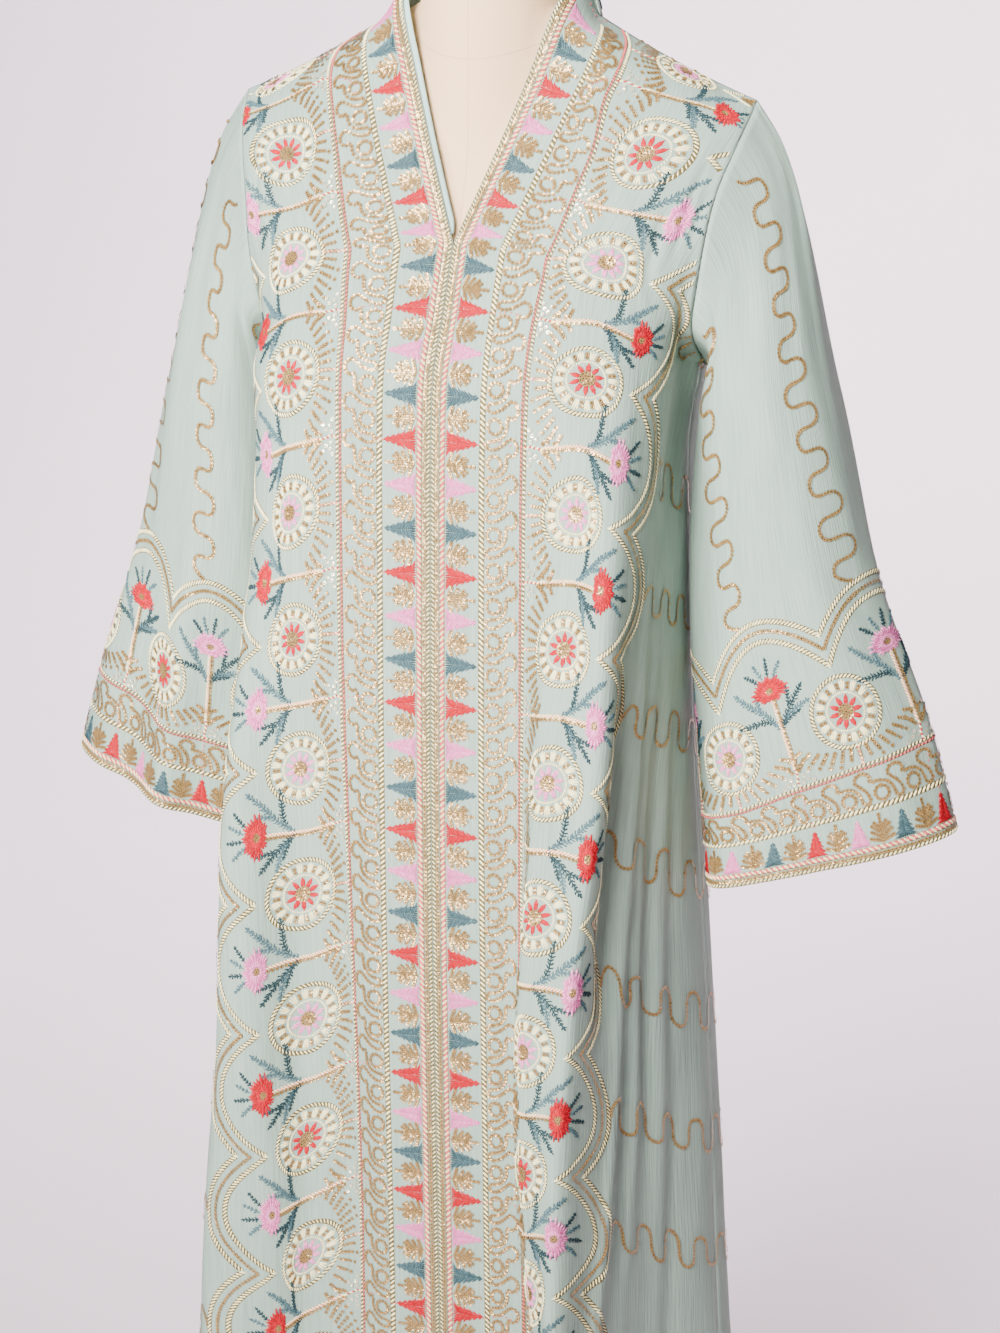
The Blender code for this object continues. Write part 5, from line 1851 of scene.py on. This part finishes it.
    def neck_band(self) -> list[Piece]:
        """Make the stand collar round the back of the neck and its needlework.

        Returns:
            The band and its needlework.
        """
        neck = np.array((NECK_POINT_X, 0.0, NECK_POINT_Z))
        centre = np.array((0.0, 0.06, 1.44))
        top, top_centre = np.array((0.072, 0.0, 1.487)), np.array((0.0, 0.053, 1.481))
        angles = np.linspace(0.0, np.pi, 61)
        low = np.array([back_neck_point(a, neck, centre) for a in angles]) + (0, 0, 2 * SEAM_GAP)
        high = np.array([back_neck_point(a, top, top_centre) for a in angles])
        low[[0, -1], 1] += SEAM_GAP
        high[[0, -1], 1] += SEAM_GAP
        share = np.linspace(0.0, 1.0, 13)[:, None, None]
        grid = low * (1 - share) + high * share
        outward = unit(grid * (1.0, 1.0, 0.0))
        normal = grid_normals(grid)
        normal *= np.sign((normal * outward).sum(-1, keepdims=True))
        normal[:, (0, -1), 1] = 0.0
        normal = unit(normal)
        length = arc_lengths(high[None])[0, -1]
        height = float(np.linalg.norm(high - low, axis=1).mean())
        where = np.linspace(0.0, length, len(angles))
        uv = np.stack(np.broadcast_arrays(where[None, :], (share * height)[:, :, 0]), axis=-1)
        cloth = cloth_wall("cloth_neck_band", grid, normal, uv, self.palette.cloth)
        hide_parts("neck_band")
        work = Needlework(BandMap(grid, normal, float(length), height), seed=90)
        border = Border(work, pitch=float(length) / 2, low=0.0, high=float(length))
        border.trim()
        colours = (Thread.TEAL, Thread.CORAL, Thread.PINK)
        count = 6
        for k in range(count):
            v = length * (k + 0.5) / count
            border.triangle(v, colours[k % 3])
            border.sprig(v + length / count / 2)
        stitched = work.join("neck_band_needlework", self.palette.threads)
        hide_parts("neck_band_trim")
        return [cloth, stitched]

    def facing(self) -> Piece:
        """Make the facing strip that shows inside the wearer's right edge of the V.

        Returns:
            The strip.
        """
        surface = self.maps[Side.RIGHT]
        levels = np.linspace(0.008, 0.232, 50)
        columns = np.array((0.0005, 0.006, 0.012, 0.018, 0.026))
        rows = []
        for level in levels:
            row = np.interp(level, surface.levels, np.arange(len(surface.levels)))
            points, normals = surface.read(np.full(5, row), columns / surface.step)
            near = points - normals * (CLOTH_WALL + SEAM_GAP + 0.0002)
            way = unit(near[0] - near[1])
            narrow = 1.0 - 0.3 * smooth_step((level - 0.17) / 0.06)
            reach = 0.0046 * smooth_step((level + 0.002) / 0.022) * narrow
            curl = [near[0] + way * reach * s - normals[0] * self.curl * s * s for s in (1.0, 0.66, 0.33)]
            rows.append(np.vstack([curl, near]))
        grid = np.array(rows)
        normal = -grid_normals(grid)
        normal *= np.sign(-normal[..., 1:2])
        where = np.broadcast_to(np.linspace(0.0, 0.032, grid.shape[1])[None, :], grid.shape[:2])
        uv = pattern_places(where, levels)
        strip = cloth_wall("facing_strip", grid, normal, uv, self.palette.facing, wall=FACING_WALL)
        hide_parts("neck_facing")
        return strip

    def needlework(self) -> list[Piece]:
        """Stitch the borders of both fronts.

        Returns:
            The braid, the stitches and the sequins of each front.
        """
        made = []
        for side in Side:
            seed = 3 if side is Side.LEFT else 5
            low, high = self.maps[side].levels[0] + 0.006, SHOULDER_LEVEL - 0.003
            braid = Needlework(self.maps[side], seed=seed)
            Border(braid, self.pitch, low, high).trim()
            stitched = braid.join("braid_" + side.key, self.palette.threads)
            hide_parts("front_trim_" + side.key)
            work = Needlework(self.maps[side], seed=seed + 1)
            Border(work, self.pitch, low, high).draw()
            made += [stitched, *work.build("front_" + side.key, self.palette.threads)]
        return made

    def build(self) -> list[Piece]:
        """Make every piece of the body.

        Returns:
            The pieces.
        """
        for side in Side:
            self.surfaces(side)
        return [*self.fronts(), self.back(), *self.neck_band(), self.facing(), *self.needlework()]


@dataclass
class Sleeve:
    """A flared sleeve with its border and its braid."""

    side: Side
    body: Body
    palette: Palette
    start: float
    way: float
    columns: int = 120
    rows: int = 90
    rosettes: float = 4.5

    def loop(self) -> tuple[Array, Array, Array]:
        """Read the edge of the armhole.

        Returns:
            Points round it, the ways that lead into it and the cloth's normals there.
        """
        half = self.columns // 2
        found = []
        for kind in range(3):
            down = self.body.armholes[self.side][kind][::-1]
            up = self.body.armholes[self.side][kind + 3]
            parts = []
            for line in (down, up):
                place = np.linspace(0, len(line) - 1, half + 1)
                parts.append(read_line(place, np.arange(len(line)), line)[:-1])
            found.append(np.vstack(parts))
        return found[0], unit(found[1]), unit(found[2])

    def grid(self) -> Array:
        """Work out the smooth surface.

        Returns:
            Points, rows from the armhole to the cuff.
        """
        points, inward, normals = self.loop()
        turn = np.arange(self.columns) / self.columns
        sign = self.side.value
        low = smooth_step((0.22 - np.abs(turn - 0.5)) / 0.22)[:, None]
        out = np.array((sign, 0.0, 0.0))
        way = unit(inward * (1.0 - low) + normals * low)
        start = points + way * (SEAM_GAP + 0.0002 * low)
        angle = turn * 2.0 * np.pi
        rings = [start]
        for x, y, z, width, depth, tilt, dip in SLEEVE_RINGS[self.side.key]:
            lean = math.radians(tilt)
            rings.append(np.stack([sign * (x + width * np.cos(angle) * math.cos(lean)),
                                   y - depth * np.sin(angle),
                                   z + width * np.cos(angle) * math.sin(lean) - dip * np.sin(angle)], 1))
        rings = np.array(rings)
        columns = []
        for c in range(self.columns):
            line = rings[:, c]
            reach = np.linalg.norm(line[1] - line[0])
            along = unit(line[1] - line[0])
            lead = line[0] + unit(way[c] * (1.0 - low[c]) * 0.5 + out * low[c]
                                  + along * (1.0 - 0.6 * low[c])) * reach * 0.16
            line = np.vstack([line[:1], lead[None], line[1:]])
            places = chord_places(line)
            dense = curve(places, line, np.linspace(places[0], places[-1], DENSE))
            arc = arc_lengths(dense[None])[0]
            query = np.linspace(0.0, arc[-1], self.rows)
            columns.append(read_line(query, arc, dense))
        return np.array(columns).transpose(1, 0, 2)

    def folded(self) -> tuple[Array, Array]:
        """Work out the surface with its folds.

        Returns:
            Points and outward normals.
        """
        outer = self.grid()
        turn = np.arange(self.columns) / self.columns
        down = np.linspace(0.0, 1.0, self.rows)
        normal = loop_normals(outer)
        relief = np.zeros(outer.shape[:2])
        for top, low, width, depth, start, end in SLEEVE_FOLDS[self.side.key]:
            centre = top + (low - top) * down[:, None]
            apart = (turn[None, :] * 360.0 - centre + 180.0) % 360.0 - 180.0
            along = np.sin(np.pi * np.clip((down - start) / (end - start), 0.0, 1.0))
            relief += depth * np.exp(-(apart / width) ** 2) * along[:, None]
        seed = 31 if self.side is Side.LEFT else 47
        around = turn[None, :] * 2 * np.pi
        wander = (ripple(0.08 * np.cos(around), 0.5 * down[:, None], seed, 0.07, 0.3)
                  + ripple(0.08 * np.sin(around), 0.5 * down[:, None], seed + 1, 0.07, 0.3))
        free = smooth_step(down / 0.1)[:, None]
        relief += wander * 0.0011 * free
        outer = outer + normal * (relief * free)[..., None]
        return outer, loop_normals(outer)

    def build(self) -> list[Piece]:
        """Make the sleeve, its border and its braid.

        Returns:
            The pieces.
        """
        outer, normal = self.folded()
        lengths = arc_lengths(outer.transpose(1, 0, 2))[:, -1]
        around = arc_lengths(np.vstack([outer[-1], outer[-1, :1]])[None])[0]
        girth = float(around[-1])
        turn = np.arange(self.columns) / self.columns
        up = (1.0 - np.linspace(0.0, 1.0, self.rows)[:, None]) * lengths[None, :]
        uv = np.stack([np.broadcast_to(np.sin(np.pi * turn) * girth * 0.5, up.shape), up], axis=-1)
        name = "sleeve_" + self.side.key
        cloth = cloth_wall("cloth_" + name, outer, normal, uv, self.palette.cloth, loop=True)
        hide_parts(name)
        seam = (float(around[self.columns // 2]) - self.start) * self.way
        low = seam - girth if seam > 0 else seam
        surface = TubeMap(outer, normal, lengths, around, self.start, self.way, low, self.side)
        seed = 61 if self.side is Side.LEFT else 71
        braid = Needlework(surface, seed=seed)
        pitch = girth / self.rosettes
        Border(braid, pitch, low, low + girth).trim()
        stitched = braid.join("cuff_braid_" + self.side.key, self.palette.threads)
        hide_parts("cuff_trim_" + self.side.key)
        work = Needlework(surface, seed=seed + 1)
        Border(work, pitch, low, low + girth, wave_end=0.535, wave_length=0.0345, wave_height=0.0125,
               wave_lean=(0.013, 0.07), spike=0.87).draw()
        return [cloth, stitched, *work.build(name, self.palette.threads)]


@dataclass
class DressForm:
    """The cream form under the garment and the stand it is on."""

    palette: Palette
    sharp: float = 40.0

    def dress_node(self, name: str, material: Material) -> None:
        """Give a carried-over node its material.

        Args:
            name: the node.
            material: its material.
        """
        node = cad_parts[name]
        slots = node.material_slots
        for slot in slots:
            slot.material = material
        if not slots:
            node.data.materials.append(material)

    def build(self) -> list[Piece]:
        """Dress the form and the stand.

        Returns:
            The piece that covers the form.
        """
        self.dress_node("stand_pole", self.palette.steel)
        self.dress_node("stand_base", self.palette.steel)
        return [self.cover()]

    def cover(self) -> Piece:
        """Make the torso's own shape with its shading smoothed over its curves.

        Returns:
            The piece.
        """
        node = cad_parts["form_torso"]
        points = np.array([node.matrix_world @ spot.co for spot in node.data.vertices])
        _, first, merged = np.unique(np.round(points, 5), axis=0, return_index=True, return_inverse=True)
        node.data.calc_loop_triangles()
        faces = merged.reshape(-1)[np.array([part.vertices for part in node.data.loop_triangles])]
        whole = (faces[:, 0] != faces[:, 1]) & (faces[:, 1] != faces[:, 2]) & (faces[:, 0] != faces[:, 2])
        mesh = Mesh("form_cover")
        mesh.add(points[first], faces[whole])
        made = mesh.build([self.palette.form])
        made.data.set_sharp_from_angle(angle=math.radians(self.sharp))
        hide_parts("form_torso")
        return made


@dataclass
class Studio:
    """The floor, the light and the camera."""

    palette: Palette
    place: Triple = (0.779, -2.19, 1.533)
    azimuth: float = 19.5
    pitch: float = 14.37
    lens: float = 81.236
    sensor: float = 36.0

    def floor(self) -> None:
        """A pale floor that rises smoothly into a backdrop."""
        start, bend = 2.2, 1.6
        profile = [(-6.0, 0.0), (start, 0.0)]
        profile += [(start + bend * math.sin(a), bend - bend * math.cos(a))
                    for a in np.linspace(0.1, np.pi / 2, 14)]
        profile += [(start + bend, 5.0)]
        points = np.array([[(x, y, z - 0.0001) for x in np.linspace(-7.0, 7.0, 3)] for y, z in profile])
        mesh = Mesh("floor")
        mesh.add(points, grid_faces(len(profile), 3))
        mesh.build([self.palette.floor])

    def light(self, name: str, place: Triple, size: tuple[float, float], power: float, colour: Colour,
              target: Triple, spread: float = 180.0) -> None:
        """Add a soft light.

        Args:
            name: what it is called.
            place: where its middle is.
            size: its width and height.
            power: its strength in watts.
            colour: its colour.
            target: the point it faces.
            spread: the angle it spreads over, in degrees.
        """
        data = bpy.data.lights.new(name, "AREA")
        data.shape = "RECTANGLE"
        data.size, data.size_y = size
        data.energy = power
        data.spread = math.radians(spread)
        data.color = colour
        lamp = bpy.data.objects.new(name, data)
        lamp.location = place
        way = np.array(target) - place
        yaw = math.atan2(way[0], -way[1])
        tilt = math.atan2(math.hypot(way[0], way[1]), -way[2])
        lamp.rotation_euler = (tilt, 0.0, yaw + math.pi)
        bpy.context.scene.collection.objects.link(lamp)

    def build(self) -> None:
        """Set up the floor, the lights, the sky and the camera."""
        self.floor()
        self.light("key", (-0.25, -2.6, 2.35), (1.3, 1.3), 64.0, (1.0, 0.985, 0.95),
                   target=(0.0, 0.0, 1.45), spread=75.0)
        self.light("glint", (-0.86, -2.35, 0.42), (0.4, 0.5), 8.0, (1.0, 0.97, 0.92),
                   target=(0.0, -0.1, 1.0), spread=60.0)
        self.light("top", (-0.3, -0.6, 3.4), (2.4, 2.0), 14.0, (1.0, 1.0, 1.0), target=(0.0, 0.0, 0.9))
        self.light("backdrop", (-0.7, 1.0, 3.6), (4.0, 1.0), 195.0, (1.0, 0.975, 1.0),
                   target=(-0.7, 3.6, 0.6), spread=120.0)
        world = bpy.data.worlds.new("sky")
        world.use_nodes = True
        back = world.node_tree.nodes["Background"]
        back.inputs["Color"].default_value = (0.93, 0.93, 0.96, 1.0)
        back.inputs["Strength"].default_value = 0.23
        bpy.context.scene.world = world
        data = bpy.data.cameras.new("camera")
        data.lens = self.lens
        data.sensor_width = self.sensor
        camera = bpy.data.objects.new("camera", data)
        camera.location = self.place
        camera.rotation_euler = (math.radians(90.0 - self.pitch), 0.0, math.radians(self.azimuth))
        bpy.context.scene.collection.objects.link(camera)
        bpy.context.scene.camera = camera


def triangles(piece: Piece) -> int:
    """How many triangles a piece has."""
    return sum(len(face.vertices) - 2 for face in piece.data.polygons)


def main() -> None:
    """Build the model in order and report each piece."""
    logging.basicConfig(level=logging.INFO, format="%(message)s")
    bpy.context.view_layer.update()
    palette = Palette.make()
    body = Body(palette)
    pieces = body.build()
    pieces += Sleeve(Side.LEFT, body, palette, start=0.1727, way=1.0).build()
    pieces += Sleeve(Side.RIGHT, body, palette, start=0.208, way=-1.0).build()
    pieces += DressForm(palette).build()
    Studio(palette).build()
    total = 0
    for piece in pieces:
        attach(piece, "root")
        count = triangles(piece)
        total += count
        LOG.info("%s: %d triangles", piece.name, count)
    LOG.info("all pieces: %d triangles", total)
    bpy.context.view_layer.update()


if __name__ == "__main__":
    main()
